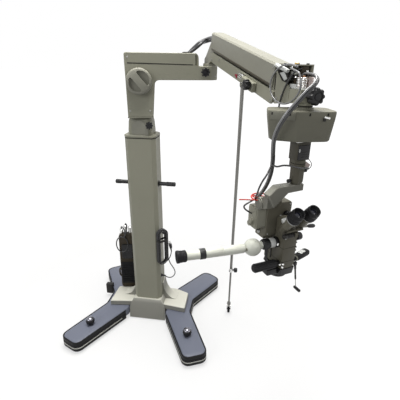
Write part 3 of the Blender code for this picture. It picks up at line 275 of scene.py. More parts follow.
class Shader:
    """A material's node tree, with short calls to add and join nodes."""

    def __init__(self, name):
        self.material = bpy.data.materials.new(name)
        self.material.use_nodes = True
        self.tree = self.material.node_tree
        self.main = self.tree.nodes["Principled BSDF"]
        self.place = self.add("ShaderNodeTexCoord").outputs["Object"]

    def add(self, kind, **settings):
        node = self.tree.nodes.new(kind)
        for key, value in settings.items():
            setattr(node, key, value)
        return node

    def link(self, source, target):
        self.tree.links.new(source, target)

    def noise(self, scale, detail=3.0, stretch=(1.0, 1.0, 1.0)):
        mapping = self.add("ShaderNodeMapping")
        mapping.inputs["Scale"].default_value = stretch
        self.link(self.place, mapping.inputs["Vector"])
        node = self.add("ShaderNodeTexNoise")
        node.inputs["Scale"].default_value = scale
        node.inputs["Detail"].default_value = detail
        self.link(mapping.outputs[0], node.inputs["Vector"])
        return node.outputs["Fac"]

    def ramp(self, source, low, high, start, end):
        node = self.add("ShaderNodeMapRange")
        for key, value in (("From Min", low), ("From Max", high), ("To Min", start), ("To Max", end)):
            node.inputs[key].default_value = value
        self.link(source, node.inputs["Value"])
        return node.outputs["Result"]

    def blend(self, share, first, second):
        node = self.add("ShaderNodeMix", data_type="RGBA")
        for value, key in ((share, "Factor"), (first, "A"), (second, "B")):
            socket = [s for s in node.inputs if s.name == key and s.enabled][0]
            if isinstance(value, bpy.types.NodeSocket):
                self.link(value, socket)
            else:
                socket.default_value = (*value, 1.0) if isinstance(value, tuple) else value
        return [s for s in node.outputs if s.enabled][0]

    def edges(self, radius):
        """1 on outer edges, which are made paler for wear and a painted highlight, and the normal of the edge
        rounded off.
        """
        bevel = self.add("ShaderNodeBevel", samples=4)
        bevel.inputs["Radius"].default_value = radius
        geometry = self.add("ShaderNodeNewGeometry")
        dot = self.add("ShaderNodeVectorMath", operation="DOT_PRODUCT")
        self.link(bevel.outputs[0], dot.inputs[0])
        self.link(geometry.outputs["Normal"], dot.inputs[1])
        return self.ramp(dot.outputs["Value"], 0.995, 0.8, 0.0, 1.0), bevel.outputs[0]

    def bump(self, source, distance, normal=None):
        node = self.add("ShaderNodeBump")
        node.inputs["Strength"].default_value = 1.0
        node.inputs["Distance"].default_value = distance
        self.link(source, node.inputs["Height"])
        if normal is not None:
            self.link(normal, node.inputs["Normal"])
        self.link(node.outputs[0], self.main.inputs["Normal"])


def scaled(colour, factor, lift=0.0):
    return tuple(min(1.0, c * factor + lift) for c in colour)


def paint(name, colour, rough=0.42, mottle=0.05, edge=0.0015, edge_wear_and_highlight=0.35, grime=0.1, side=1.0):
    """Sprayed metal: mottling, orange peel, grime, and pale rounded edges for wear and a painted highlight.
    Upright faces can get painted shade, darker than the tops.
    """
    s = Shader(name)
    body = s.blend(s.noise(5.0, 4.0), scaled(colour, 1 - mottle), scaled(colour, 1 + mottle))
    # Painted shade: faces that stand upright get the colour times side, so they read darker than the tops.
    if side != 1.0:
        up = s.add("ShaderNodeSeparateXYZ")
        s.link(s.add("ShaderNodeNewGeometry").outputs["Normal"], up.inputs[0])
        body = s.blend(s.ramp(up.outputs["Z"], 0.25, 0.85, 0.0, 1.0), scaled(colour, side), body)
    body = s.blend(s.ramp(s.noise(23.0, 6.0), 0.58, 0.78, 0.0, grime), body, scaled(colour, 0.62))
    wear_and_highlight_edges, normal = s.edges(edge)
    # Wear and painted highlight: outer edges turn paler.
    body = s.blend(s.ramp(wear_and_highlight_edges, 0.0, 1.0, 0.0, edge_wear_and_highlight), body, scaled(colour, 1.6, 0.03))
    s.link(body, s.main.inputs["Base Color"])
    s.link(s.ramp(s.noise(60.0, 3.0), 0.3, 0.7, rough - 0.06, rough + 0.08), s.main.inputs["Roughness"])
    s.main.inputs["Specular IOR Level"].default_value = 0.22
    s.bump(s.noise(900.0, 2.0), 0.00012, normal)
    return s.material


def plastic(name, colour, rough=0.38, grain=0.0001, scale=700.0, edge_wear_and_highlight=0.25, gloss=0.25):
    """Moulded plastic: a fine grain with slightly paler edges, for rubbing and a painted highlight."""
    s = Shader(name)
    body = s.blend(s.noise(14.0, 4.0), scaled(colour, 0.85), scaled(colour, 1.18))
    wear_and_highlight_edges, normal = s.edges(0.001)
    # Wear and painted highlight: outer edges turn paler.
    body = s.blend(s.ramp(wear_and_highlight_edges, 0.0, 1.0, 0.0, edge_wear_and_highlight), body, scaled(colour, 2.2, 0.02))
    s.link(body, s.main.inputs["Base Color"])
    s.link(s.ramp(s.noise(40.0, 3.0), 0.3, 0.7, rough - 0.07, rough + 0.1), s.main.inputs["Roughness"])
    s.main.inputs["Specular IOR Level"].default_value = gloss
    s.bump(s.noise(scale, 2.0), grain, normal)
    return s.material


def metal(name, colour, rough=0.22, stretch=(1.0, 1.0, 1.0)):
    """Plated or brushed metal with a directional grain and dull spots."""
    s = Shader(name)
    body = s.blend(s.noise(18.0, 5.0), scaled(colour, 0.8), colour)
    s.link(body, s.main.inputs["Base Color"])
    s.main.inputs["Metallic"].default_value = 1.0
    lines = s.noise(400.0, 2.0, stretch)
    s.link(s.ramp(lines, 0.3, 0.7, max(0.04, rough - 0.08), rough + 0.12), s.main.inputs["Roughness"])
    normal = s.edges(0.0006)[1]
    s.bump(lines, 0.00003, normal)
    return s.material


def glass(name, colour):
    """Coated lens glass with a faint smear."""
    s = Shader(name)
    body = s.blend(s.noise(30.0, 3.0), scaled(colour, 0.7), colour)
    s.link(body, s.main.inputs["Base Color"])
    s.link(s.ramp(s.noise(55.0, 4.0), 0.45, 0.75, 0.03, 0.14), s.main.inputs["Roughness"])
    s.main.inputs["Specular IOR Level"].default_value = 0.25
    s.main.inputs["Coat Weight"].default_value = 0.35
    s.main.inputs["Coat Roughness"].default_value = 0.03
    return s.material


MATERIALS = {
    "beige": paint("beige_paint", (0.29, 0.286, 0.225)),
    # The cream's upright faces get painted shade through side (0.42 of the colour).
    "cream": paint("cream_paint", (0.62, 0.612, 0.54), rough=0.38, side=0.42),
    "pale": paint("pale_beige_paint", (0.275, 0.27, 0.225), rough=0.4),
    # The bracket's upright faces get painted shade through side (0.55 of the colour).
    "bracket": paint("bracket_paint", (0.34, 0.334, 0.285), side=0.55),
    "carrier": paint("carrier_paint", (0.135, 0.127, 0.096), edge_wear_and_highlight=0.3),
    # A darker copy of the dark paint for the slider, which sits in shade under the box: painted shade.
    "slider": paint("slider_paint", (0.072, 0.067, 0.05), edge_wear_and_highlight=0.3),
    # Only for the dark strips of painted shade along the spring arm cover's lower edge.
    "band": paint("gap_shade_paint", (0.07, 0.062, 0.045), edge_wear_and_highlight=0.0),
    "dark": paint("dark_paint", (0.098, 0.091, 0.067), edge_wear_and_highlight=0.3),
    "box": paint(
        "box_paint", (0.17, 0.166, 0.13), rough=0.46, mottle=0.06, edge_wear_and_highlight=0.25, grime=0.15,
    ),
    "box_rim": paint("box_rim_paint", (0.205, 0.202, 0.164), rough=0.46, edge_wear_and_highlight=0.1),
    "light": paint("light_paint", (0.27, 0.265, 0.215)),
    "blue": paint(
        "blue_paint", (0.145, 0.157, 0.2), rough=0.34, mottle=0.03, edge_wear_and_highlight=0.25, grime=0.06,
    ),
    "black": plastic("black_plastic", (0.008, 0.008, 0.009), rough=0.3, gloss=0.3),
    "satin": plastic("black_satin", (0.014, 0.013, 0.012), rough=0.44, scale=400.0),
    "rubber": plastic("black_rubber", (0.01, 0.01, 0.011), rough=0.5, grain=0.0002, gloss=0.15),
    "brown": plastic("brown_black_casting", (0.03, 0.022, 0.012), rough=0.5, grain=0.0003, scale=260.0),
    "white": plastic("white_enamel", (0.62, 0.63, 0.56), rough=0.3, edge_wear_and_highlight=0.0),
    "label": plastic("blank_plate", (0.68, 0.69, 0.67), rough=0.45, edge_wear_and_highlight=0.1),
    "stripe": plastic("dark_stripe", (0.02, 0.019, 0.016), rough=0.5),
    "pinstripe": plastic("pale_pinstripe", (0.55, 0.55, 0.5), rough=0.4),
    "seam": plastic("shadow_seam", (0.012, 0.011, 0.009), rough=0.8, edge_wear_and_highlight=0.0),
    "clear": plastic("frosted_dome", (0.6, 0.66, 0.6), rough=0.18, edge_wear_and_highlight=0.0),
    "red": plastic("red_cord", (0.58, 0.055, 0.04), rough=0.45),
    "crimson": plastic("crimson_marker", (0.26, 0.012, 0.035), rough=0.45),
    "pink": plastic("faded_tag", (0.6, 0.5, 0.47), rough=0.5),
    "steel": metal("bright_steel", (0.62, 0.62, 0.6)),
    "satin_steel": metal("satin_steel", (0.34, 0.34, 0.32), rough=0.34, stretch=(1.0, 1.0, 0.05)),
    "pole": metal("pole_steel", (0.2, 0.197, 0.185), rough=0.28, stretch=(1.0, 1.0, 0.05)),
    "chrome": metal("chrome", (0.78, 0.78, 0.77), rough=0.12),
    "dark_chrome": metal("dark_chrome", (0.24, 0.24, 0.27), rough=0.12),
    "brass": metal("brass", (0.55, 0.38, 0.14), rough=0.25),
    "copper": metal("copper_brown", (0.3, 0.17, 0.1), rough=0.35),
    "lens": glass("coated_lens", (0.012, 0.013, 0.026)),
    "cable": plastic(
        "cable_sheath", (0.014, 0.014, 0.015), rough=0.3, scale=300.0, edge_wear_and_highlight=0.0, gloss=0.6,
    ),
    "grey_cable": plastic(
        "grey_cable_sheath", (0.15, 0.15, 0.154), rough=0.2, scale=300.0, edge_wear_and_highlight=0.0, gloss=1.0,
    ),
}

NODE_LOOKS = {
    "beige": "column column_cap swivel_socket first_arm lower_link clamp wrist_frame",
    "bracket": "bracket", "carrier": "carrier", "slider": "slider", "pale": "upper_link yoke",
    "cream": "hub", "box": "coupling_box", "dark": "focus_column microscope_body bino_housing",
    "light": "lamp_housing", "blue": "leg_left leg_right", "rubber": "bumper_left bumper_right",
    "steel": "slide_plate",
}
NODE_SMOOTH_ANGLE = math.radians(35)


def coat_nodes():
    """Gives every kept CAD node its finish, and shades its facets smooth up to the smooth angle."""
    for look, names in NODE_LOOKS.items():
        for name in names.split():
            node = NODES[name]
            data = node.data
            data.materials.clear()
            data.materials.append(MATERIALS[look])
            for extra in ("custom_normal", "sharp_edge", "sharp_face"):
                if extra in data.attributes:
                    data.attributes.remove(data.attributes[extra])
            data.polygons.foreach_set("use_smooth", [True] * len(data.polygons))
            weld = node.modifiers.new("weld", "WELD")
            weld.merge_threshold = 1e-5
            split = node.modifiers.new("split", "EDGE_SPLIT")
            split.split_angle = NODE_SMOOTH_ANGLE
            split.use_edge_sharp = False


# Shapes


def mesh_object(points, faces):
    mesh = bpy.data.meshes.new("shape")
    mesh.from_pydata([tuple(p) for p in points], [], faces)
    bm = bmesh.new()
    bm.from_mesh(mesh)
    bmesh.ops.remove_doubles(bm, verts=bm.verts, dist=1e-6)
    bmesh.ops.recalc_face_normals(bm, faces=bm.faces)
    bm.to_mesh(mesh)
    bm.free()
    obj = bpy.data.objects.new("shape", mesh)
    bpy.context.scene.collection.objects.link(obj)
    return obj


def loft(rings):
    """A closed body through rings of points. A ring of one point is an apex."""
    points = []
    faces = []
    starts = []
    for ring in rings:
        starts.append(len(points))
        points += ring
    for k in range(len(rings) - 1):
        low, high = rings[k], rings[k + 1]
        a, b = starts[k], starts[k + 1]
        count = max(len(low), len(high))
        for i in range(count):
            j = (i + 1) % count
            if len(low) == 1:
                faces.append((a, b + j, b + i))
            elif len(high) == 1:
                faces.append((a + i, a + j, b))
            else:
                faces.append((a + i, a + j, b + j, b + i))
    for start, ring in ((starts[0], rings[0]), (starts[-1], rings[-1])):
        if len(ring) > 2:
            faces.append(tuple(range(start, start + len(ring))))
    return mesh_object(points, faces)


def at_plane(plane, p, h):
    return {"xy": (p[0], p[1], h), "xz": (p[0], h, p[1]), "yz": (h, p[0], p[1])}[plane]


def prism(outline, low, high, plane="xy"):
    return loft([[at_plane(plane, p, h) for p in outline] for h in (low, high)])


AXES = {
    "x": Matrix.Rotation(math.radians(90), 4, "Y"), "y": Matrix.Rotation(math.radians(-90), 4, "X"),
    "-y": Matrix.Rotation(math.radians(90), 4, "X"), "z": IDENTITY,
}


def arc(centre, size, start, end, steps, skip=0):
    """Points on an ellipse from one angle to the other, both in degrees, without the first ones to skip."""
    points = []
    for k in range(skip, steps + 1):
        turn = math.radians(start + (end - start) * k / steps)
        points.append((centre[0] + size[0] * math.cos(turn), centre[1] + size[1] * math.sin(turn)))
    return points


def mirrored(rows):
    """A profile that is the same on both sides of height 0, from its lower half."""
    return [*rows, *((radius, -height) for radius, height in reversed(rows))]


TINY_RADIUS = 1e-9


def turned(profile, axis="z", steps=64, flutes=0, sharp=1.0):
    """A turned body from (radius, height) rows. A third number says how deep the flutes cut the radius."""
    rings = []
    for row in profile:
        radius, height = row[:2]
        depth = row[2] if len(row) > 2 else 0.0
        if radius < TINY_RADIUS:
            rings.append([(0.0, 0.0, height)])
            continue
        ring = []
        for k in range(steps):
            turn = 2 * math.pi * k / steps
            size = radius
            if depth:
                size *= 1 - depth * (0.5 - 0.5 * math.cos(flutes * turn)) ** sharp
            ring.append((size * math.cos(turn), size * math.sin(turn), height))
        rings.append(ring)
    obj = loft(rings)
    obj.data.transform(AXES[axis])
    return obj


def solid(profile, axis="z", steps=64, flutes=0):
    """A turned body, closed flat at each end where the profile stops short of the axis."""
    rows = list(profile)
    if rows[0][0]:
        rows.insert(0, (0, rows[0][1]))
    if rows[-1][0]:
        rows.append((0, rows[-1][1]))
    return turned(rows, axis, steps, flutes)


def rounded(corners, steps=6):
    """A counter-clockwise outline from (x, y, radius) corners."""
    outline = []
    count = len(corners)
    for i, (x, y, radius) in enumerate(corners):
        here = Vector((x, y))
        before = Vector(corners[i - 1][:2]) - here
        after = Vector(corners[(i + 1) % count][:2]) - here
        if radius == 0:
            outline.append((x, y))
            continue
        half = before.angle(after) / 2
        reach = radius / math.tan(half)
        first = here + before.normalized() * reach
        last = here + after.normalized() * reach
        middle = (before.normalized() + after.normalized()).normalized()
        centre = here + middle * (radius / math.sin(half))
        start = math.atan2(first.y - centre.y, first.x - centre.x)
        sweep = math.atan2(last.y - centre.y, last.x - centre.x) - start
        sweep = (sweep + math.pi) % (2 * math.pi) - math.pi
        for k in range(steps + 1):
            turn = start + sweep * k / steps
            outline.append((centre.x + radius * math.cos(turn), centre.y + radius * math.sin(turn)))
    return outline


def rounded_box(half_x, half_y, radius, steps=6):
    signs = ((-1, -1), (1, -1), (1, 1), (-1, 1))
    return rounded([(a * half_x, b * half_y, radius) for a, b in signs], steps)


def rounded_at(x, y, half_x, half_y, radius, steps=5):
    return [(px + x, py + y) for px, py in rounded_box(half_x, half_y, radius, steps)]


def offset(outline, distance):
    """A counter-clockwise outline moved outwards by the distance."""
    moved = []
    count = len(outline)
    for i in range(count):
        here = Vector(outline[i])
        into = (here - Vector(outline[i - 1])).normalized()
        out = (Vector(outline[(i + 1) % count]) - here).normalized()
        normal = Vector((into.y + out.y, -into.x - out.x)).normalized()
        scale = max(0.3, normal.dot(Vector((into.y, -into.x))))
        moved.append(tuple(here + normal * (distance / scale)))
    return moved


def pose(place, degrees, axis):
    """A frame at the place, turned about one axis."""
    return Matrix.Translation(place) @ Matrix.Rotation(math.radians(degrees), 4, axis)


def facing(place, direction):
    """A frame at the place, with its Z axis along the direction."""
    return Matrix.Translation(place) @ direction.to_track_quat("Z", "Y").to_matrix().to_4x4()


def points_in(frame, *points):
    return [frame @ Vector(p) for p in points]


def moved(obj, *steps):
    """The object moved by each step in turn: a frame, or a shift as three numbers."""
    for step in steps:
        matrix = step if isinstance(step, Matrix) else Matrix.Translation(step)
        obj.data.transform(matrix)
    return obj


def settled(obj):
    """The object with its modifiers worked into its mesh."""
    bpy.context.view_layer.update()
    graph = bpy.context.evaluated_depsgraph_get()
    mesh = bpy.data.meshes.new_from_object(obj.evaluated_get(graph))
    obj.modifiers.clear()
    obj.data = mesh
    return obj


def combined(obj, others, operation):
    for other in others:
        modifier = obj.modifiers.new("combine", "BOOLEAN")
        modifier.operation = operation
        modifier.solver = "EXACT"
        modifier.object = other
        settled(obj)
        bpy.data.objects.remove(other, do_unlink=True)
    return obj


def cut(obj, *others):
    return combined(obj, others, "DIFFERENCE")


def bevelled(obj, width, segments=3, angle=30.0):
    modifier = obj.modifiers.new("edges", "BEVEL")
    modifier.width = width
    modifier.segments = segments
    modifier.limit_method = "ANGLE"
    modifier.angle_limit = math.radians(angle)
    return settled(obj)


def block(low, high, edge=0.0015):
    """A block with rounded edges."""
    outline = ((low[0], low[1]), (high[0], low[1]), (high[0], high[1]), (low[0], high[1]))
    return bevelled(prism(outline, low[2], high[2]), edge)


def joined(obj, *others):
    """One mesh of several bodies that touch or overlap."""
    bm = bmesh.new()
    for each in (obj, *others):
        bm.from_mesh(each.data)
    bm.to_mesh(obj.data)
    bm.free()
    for other in others:
        bpy.data.objects.remove(other, do_unlink=True)
    return obj


def smooth_route(points, per_span=6):
    """Points along a smooth curve through the given ones."""
    places = [Vector(p) for p in points]
    places = [2 * places[0] - places[1]] + places + [2 * places[-1] - places[-2]]
    route = []
    for k in range(1, len(places) - 2):
        a, b, c, d = places[k - 1 : k + 3]
        for step in range(per_span):
            t = step / per_span
            bend = (2 * a - 5 * b + 4 * c - d) * t**2 + (3 * b - a - 3 * c + d) * t**3
            route.append(0.5 * (2 * b + (c - a) * t + bend))
    route.append(places[-2])
    return route


def pipe(route, radius, steps=14):
    """A closed mesh tube along a route. The radius is one number or one for each point."""
    route = [Vector(p) for p in route]
    radii = radius if isinstance(radius, (list, tuple)) else [radius] * len(route)
    rings = []
    side = None
    for k, place in enumerate(route):
        along = (route[min(k + 1, len(route) - 1)] - route[max(k - 1, 0)]).normalized()
        if side is None:
            side = along.orthogonal().normalized()
        side = (side - along * side.dot(along)).normalized()
        other = along.cross(side)
        ring = []
        for i in range(steps):
            turn = 2 * math.pi * i / steps
            ring.append(tuple(place + radii[k] * (side * math.cos(turn) + other * math.sin(turn))))
        rings.append(ring)
    return loft(rings)


def coil_spring(radius, wire, height, turns, per_turn=16):
    """A compression spring along Z from z = 0."""
    route = []
    for k in range(int(turns * per_turn) + 1):
        turn = 2 * math.pi * k / per_turn
        route.append(
            (radius * math.cos(turn), radius * math.sin(turn), height * k / (turns * per_turn)),
        )
    return pipe(route, wire, 8)


def smooth_shaded(obj, angle):
    bm = bmesh.new()
    bm.from_mesh(obj.data)
    for face in bm.faces:
        face.smooth = True
    for edge in bm.edges:
        edge.smooth = len(edge.link_faces) == 2 and edge.calc_face_angle(0.0) < angle
    bm.to_mesh(obj.data)
    bm.free()
    obj.data.update()
    return obj


def piece(obj, name, body, look, *replaced, angle=38.0):
    """Names, shades, coats and mounts a finished piece on its body."""
    obj.name = name
    obj.data.name = name
    smooth_shaded(obj, math.radians(angle))
    obj.data.materials.clear()
    obj.data.materials.append(MATERIALS[look])
    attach(obj, body)
    if replaced:
        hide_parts(*replaced)
    return obj


def block_pieces(frame, table):
    """Pieces of one or more blocks: name, body, look, and each block's low corner, high corner and edge."""
    for name, body, look, *rows in table:
        piece(moved(joined(*[block(*row) for row in rows]), frame), name, body, look)


def turned_pieces(frame, table):
    """Turned pieces: name, body, look, replaced nodes, axis, steps round, flutes, place and profile."""
    for name, body, look, replaced, axis, steps, flutes, place, profile in table:
        piece(moved(solid(profile, axis, steps, flutes), place, frame), name, body, look, *replaced)


# Mains lead: a hank that hangs from a hook on the column, with its plug

CORD_RADIUS = 0.003
HANK_HALF_WIDTHS = (0.0305, 0.0225)
HANK_LAYERS = 4
HANK_LAYER_STEP = 0.0083
HANK_LOW_BEND = 0.0375
HANK_HIGH_BEND = 0.2055
HANK_TURN_DROPS = (0.0, 0.005, 0.0015, 0.006)
HANK_BEND_POINTS = 9
HANK_STRAIGHT = (0.04, 0.12, 0.3, 0.7, 0.88, 0.96)
CORD_EXIT = (0.0911, -0.032, 0.305)
CORD_SLACK = (
    CORD_EXIT, (0.101, -0.0323, 0.3035), (0.119, -0.03, 0.296), (0.136, -0.021, 0.285),
    (0.154, -0.007, 0.285), (0.166, 0.002, 0.302), (0.165, 0.0, 0.329), (0.156, -0.011, 0.36),
    (0.144, -0.027, 0.396),
)
CORD_END = (
    (0.0, -0.0125, 0.015), (0.006, -0.013, 0.0155), (0.018, -0.0145, 0.0195), (0.034, -0.016, 0.033),
    (0.0455, -0.016, 0.052), (0.052, -0.015, 0.076), (0.05, -0.014, 0.1),
)
PLUG_LENGTH = 0.052


def hank_turn(half_width, low_drop, depth, next_half, next_drop, next_depth):
    """One turn of the hank in its own frame: up at the right, over the top and down to the next turn."""
    points = HANK_BEND_POINTS
    rise = HANK_HIGH_BEND - HANK_LOW_BEND
    last = 2 * points - 1
    middle, reach = 0.5 * (half_width - next_half), 0.5 * (half_width + next_half)
    bend = arc((0, HANK_LOW_BEND - low_drop), (half_width, half_width), -90, 0, points - 1)
    turn = [(across, depth, level) for across, level in bend]
    for share in HANK_STRAIGHT:
        turn.append((half_width, depth, HANK_LOW_BEND - low_drop + share * (rise + low_drop)))
    for k, (across, level) in enumerate(arc((middle, HANK_HIGH_BEND), (reach, reach), 0, 180, last)):
        turn.append((across, depth + (next_depth - depth) * k / last, level))
    for share in HANK_STRAIGHT:
        turn.append((-next_half, next_depth, HANK_HIGH_BEND - share * (rise + next_drop)))
    bend = arc((0, HANK_LOW_BEND - next_drop), (next_half, next_half), 180, 270, points - 1)
    return turn + [(across, next_depth, level) for across, level in bend[:-1]]


def cord_route():
    """The cord from the column: loose stretch, wide turns, narrow turns and the end to the plug."""
    route = [Vector(p) for p in CORD_SLACK]
    first = -HANK_LAYER_STEP * (HANK_LAYERS - 1) / 2
    depths = [first + HANK_LAYER_STEP * k for k in range(HANK_LAYERS)]
    turns = [(HANK_HALF_WIDTHS[0], k) for k in range(HANK_LAYERS)]
    turns += [(HANK_HALF_WIDTHS[1], k) for k in reversed(range(HANK_LAYERS))]
    for i, (half_width, layer) in enumerate(turns):
        next_half, following = turns[min(i + 1, len(turns) - 1)]
        turn = hank_turn(
            half_width, HANK_TURN_DROPS[layer], depths[layer], next_half, HANK_TURN_DROPS[following],
            depths[following],
        )
        # The first turn starts where its low bend ends.
        route += points_in(HANK, *(turn[HANK_BEND_POINTS - 1 :] if i == 0 else turn))
    return smooth_route(route + points_in(HANK, *CORD_END), 2)


def mains_lead():
    """The cord in its hank with its plug, the relief at the column, the hook and the tie."""
    route = cord_route()
    lead = piece(pipe(route, CORD_RADIUS, 10), "mains_lead", "stand", "cable", "cord_hank")
    sleeve = (
        (0.0036, -0.022), (0.004, -0.016), (0.0036, -0.013), (0.0046, -0.009), (0.0042, -0.006),
        (0.0056, 0.0), (0.008, 0.002),
    )
    outline = rounded_box(0.0125, 0.0085, 0.004, 4)
    sections = ((0.0, 0.62), (0.004, 0.82), (0.014, 0.98), (0.03, 1.0), (0.0325, 0.94))
    shell = loft([[(x * share, y * share, z) for x, y in outline] for z, share in sections])
    turn = facing(route[-1], (route[-1] - route[-2]).normalized())
    plug = piece(moved(joined(shell, solid(sleeve, steps=28)), turn), "mains_plug", "stand", "black")
    pins = []
    for x, y in ((-0.0062, 0.0025), (0.0062, 0.0025), (0, -0.0045)):
        pin = solid(((0.0022, 0.03), (0.0022, 0.049), (0.0012, PLUG_LENGTH - 0.001)), steps=20)
        pins.append(moved(pin, (x, y, 0)))
    prongs = piece(moved(joined(*pins), turn), "mains_plug_pins", "stand", "chrome")
    relief = (
        (0.0101, -0.005), (0.0101, -0.0018), (0.0066, 0.0004), (0.006, 0.004), (0.0052, 0.0075),
        (0.0056, 0.009), (0.0046, 0.015), (0.0049, 0.0165), (0.0034, 0.024),
    )
    piece(moved(solid(relief, "x", 36), CORD_EXIT), "cord_relief", "stand", "black")
    hook = ((0.004, -0.0188), (0.004, 0.0165), (0.0085, 0.017), (0.0085, 0.0178), (0, 0.018))
    hook_at = (0, 0, HANK_HIGH_BEND + HANK_HALF_WIDTHS[1] - 0.0076)
    piece(moved(solid(hook, "-y", 32), hook_at, HANK), "cord_hook", "stand", "black")
    outer = rounded_box(0.0345, 0.0172, 0.01)
    inner = rounded_box(0.0336, 0.016, 0.009)
    tie = cut(prism(outer, 0.158, 0.172), prism(inner, 0.1, 0.2))
    piece(moved(tie, HANK), "cord_tie", "stand", "satin")


# Base


def leg_outline(side):
    outline = rounded(LEG_CORNERS, 4)
    return outline if side > 0 else [(-x, y) for x, y in reversed(outline)]


def pinstripe(name, side):
    """The pale strip that runs round the outside of a bumper."""
    corners = [Vector(p) for p in offset(leg_outline(side), 0.0058)]
    path = []
    for k, corner in enumerate(corners):
        start = corners[k - 1]
        steps = max(1, round((corner - start).length / 0.015))
        path += [tuple(start.lerp(corner, i / steps)) for i in range(1, steps + 1)]
    path = [p for p in path if side * p[0] > 0.14]
    path = path if side > 0 else list(reversed(path))
    start = max(range(len(path)), key=lambda k: (Vector(path[k]) - Vector(path[k - 1])).length)
    path = path[start:] + path[:start]
    rings = []
    for k, (x, y) in enumerate(path):
        along = (Vector(path[min(k + 1, len(path) - 1)]) - Vector(path[max(k - 1, 0)])).normalized()
        out = Vector((along.y, -along.x)) * side
        corners = ((0.0, 0.0355), (0.0011, 0.0362), (0.0011, 0.0408), (0.0, 0.0415))
        rings.append([(x + out.x * d, y + out.y * d, z) for d, z in corners])
    piece(loft(rings), name, "stand", "pinstripe")


def bumper_lip(name, side):
    """The bumper's upper part, which reaches the leg's top edge."""
    outline = leg_outline(side)
    lip = bevelled(prism(offset(outline, 0.0056), 0.06, 0.0775), 0.0018)
    gate = (0.066 * side - 0.068, -0.128, 0.0), (0.066 * side + 0.068, 0.14, 0.1)
    cut(lip, prism(offset(outline, -0.0008), 0.0, 0.1), block(*gate))
    piece(lip, name, "stand", "rubber")


JACK_BALL = 0.026
JACK_CENTRE = 0.106


def jack_ball(name, side):
    """The round handle that screws a foot down: a fluted black skirt under a polished cap."""
    node = f"jack_{name}"
    place = (side * JACK_AT[0], JACK_AT[1], 0)
    ball = (0, JACK_CENTRE), (JACK_BALL, JACK_BALL)
    profile = [
        (0.0, 0.0), (0.024, 0.0), (0.024, 0.006), (0.0085, 0.012), (0.0085, 0.08), (0.015, 0.0805),
        (0.016, 0.083),
    ]
    for k, row in enumerate(arc(*ball, -48, 28, 8)):
        profile.append((*row, 0.09 * math.sin(math.pi * (k + 0.5) / 10)))
    profile += [(0.02, JACK_CENTRE + 0.0145), (0, JACK_CENTRE + 0.0145)]
    skirt = turned(profile, steps=96, flutes=12, sharp=0.8)
    piece(moved(skirt, place), f"jack_skirt_{name}", node, "black", node)
    cap = [(0.0, JACK_CENTRE + 0.0135), (0.0205, JACK_CENTRE + 0.0135), *arc(*ball, 38, 90, 8)]
    piece(moved(turned(cap), place), f"jack_cap_{name}", node, "dark_chrome")


def small_wheel(name, side, spot):
    half, tyre = 0.007, 0.019
    rows = (
        (0.004, -0.013), (0.004, -half), (0.009, -half), (0.01, -half + 0.0015),
        (0.013, -half + 0.0015), (0.014, -half), (tyre - 0.002, -half), (tyre, -half + 0.003),
    )
    obj = moved(turned(mirrored(rows), "x", 40), (side * spot[0], spot[1], 0.02))
    piece(obj, f"roller_{name}", f"wheel_{name}", "rubber", f"wheel_{name}")


def base_pieces():
    for side, name in ((-1, "left"), (1, "right")):
        pinstripe(f"pinstripe_{name}", side)
        bumper_lip(f"bumper_lip_{name}", side)
        jack_ball(name, side)
        small_wheel(f"front_{name}", side, (0.36, -0.37))
        small_wheel(f"rear_{name}", side, (0.352, 0.296))
    piece(block((-0.35, 0.085, 0.03), (-0.302, 0.115, 0.105), 0.004), "side_box", "stand", "satin")
    bevel, x, y = 0.02, 0.0862, 0.0654
    ring = (
        (-x + bevel, -y), (x - bevel, -y), (x, -y + bevel), (x, y - bevel), (x - bevel, y),
        (-x + bevel, y), (-x, y - bevel), (-x, -y + bevel),
    )
    seam = cut(prism(ring, 1.1728, 1.1762), prism(offset(ring, -0.002), 1.0, 1.3))
    piece(seam, "column_seam", "stand", "seam")
    arch = [(-0.04, 1.1926), (0.052, 1.1926), *arc((0.006, 1.214), (0.046, 0.054), 0, 180, 16)]
    plate = bevelled(prism(arch, -0.0602, -0.057, "xz"), 0.0012)
    piece(plate, "socket_plate", "stand", "pale")
    peg_pieces()


def peg_pieces():
    """The rod that sticks out left and right of the column, with its two collars."""
    left, right, radius = -0.167, 0.185, 0.0125
    waist, tip = radius * 0.9, radius * 0.7
    rows = (
        (tip, left), (radius, left + 0.0035), (radius, left + 0.03), (waist, left + 0.034),
        (waist, 0.131), (radius, 0.135), (radius, right - 0.0035), (tip, right),
    )
    piece(moved(solid(rows, "x", 48), (0, *PEG_AT)), "peg_rod", "stand", "black", "pegs")
    face = COLUMN_SIDE + 0.0002
    rows = ((0.0112, 0.0), (0.0175, 0.0), (0.0175, 0.0035), (0.0112, 0.005))
    collars = [turned([(size, way * (face + out)) for size, out in rows], "x", 40) for way in (-1, 1)]
    piece(moved(joined(*collars), (0, *PEG_AT)), "peg_collars", "stand", "satin")


# Foot pedal


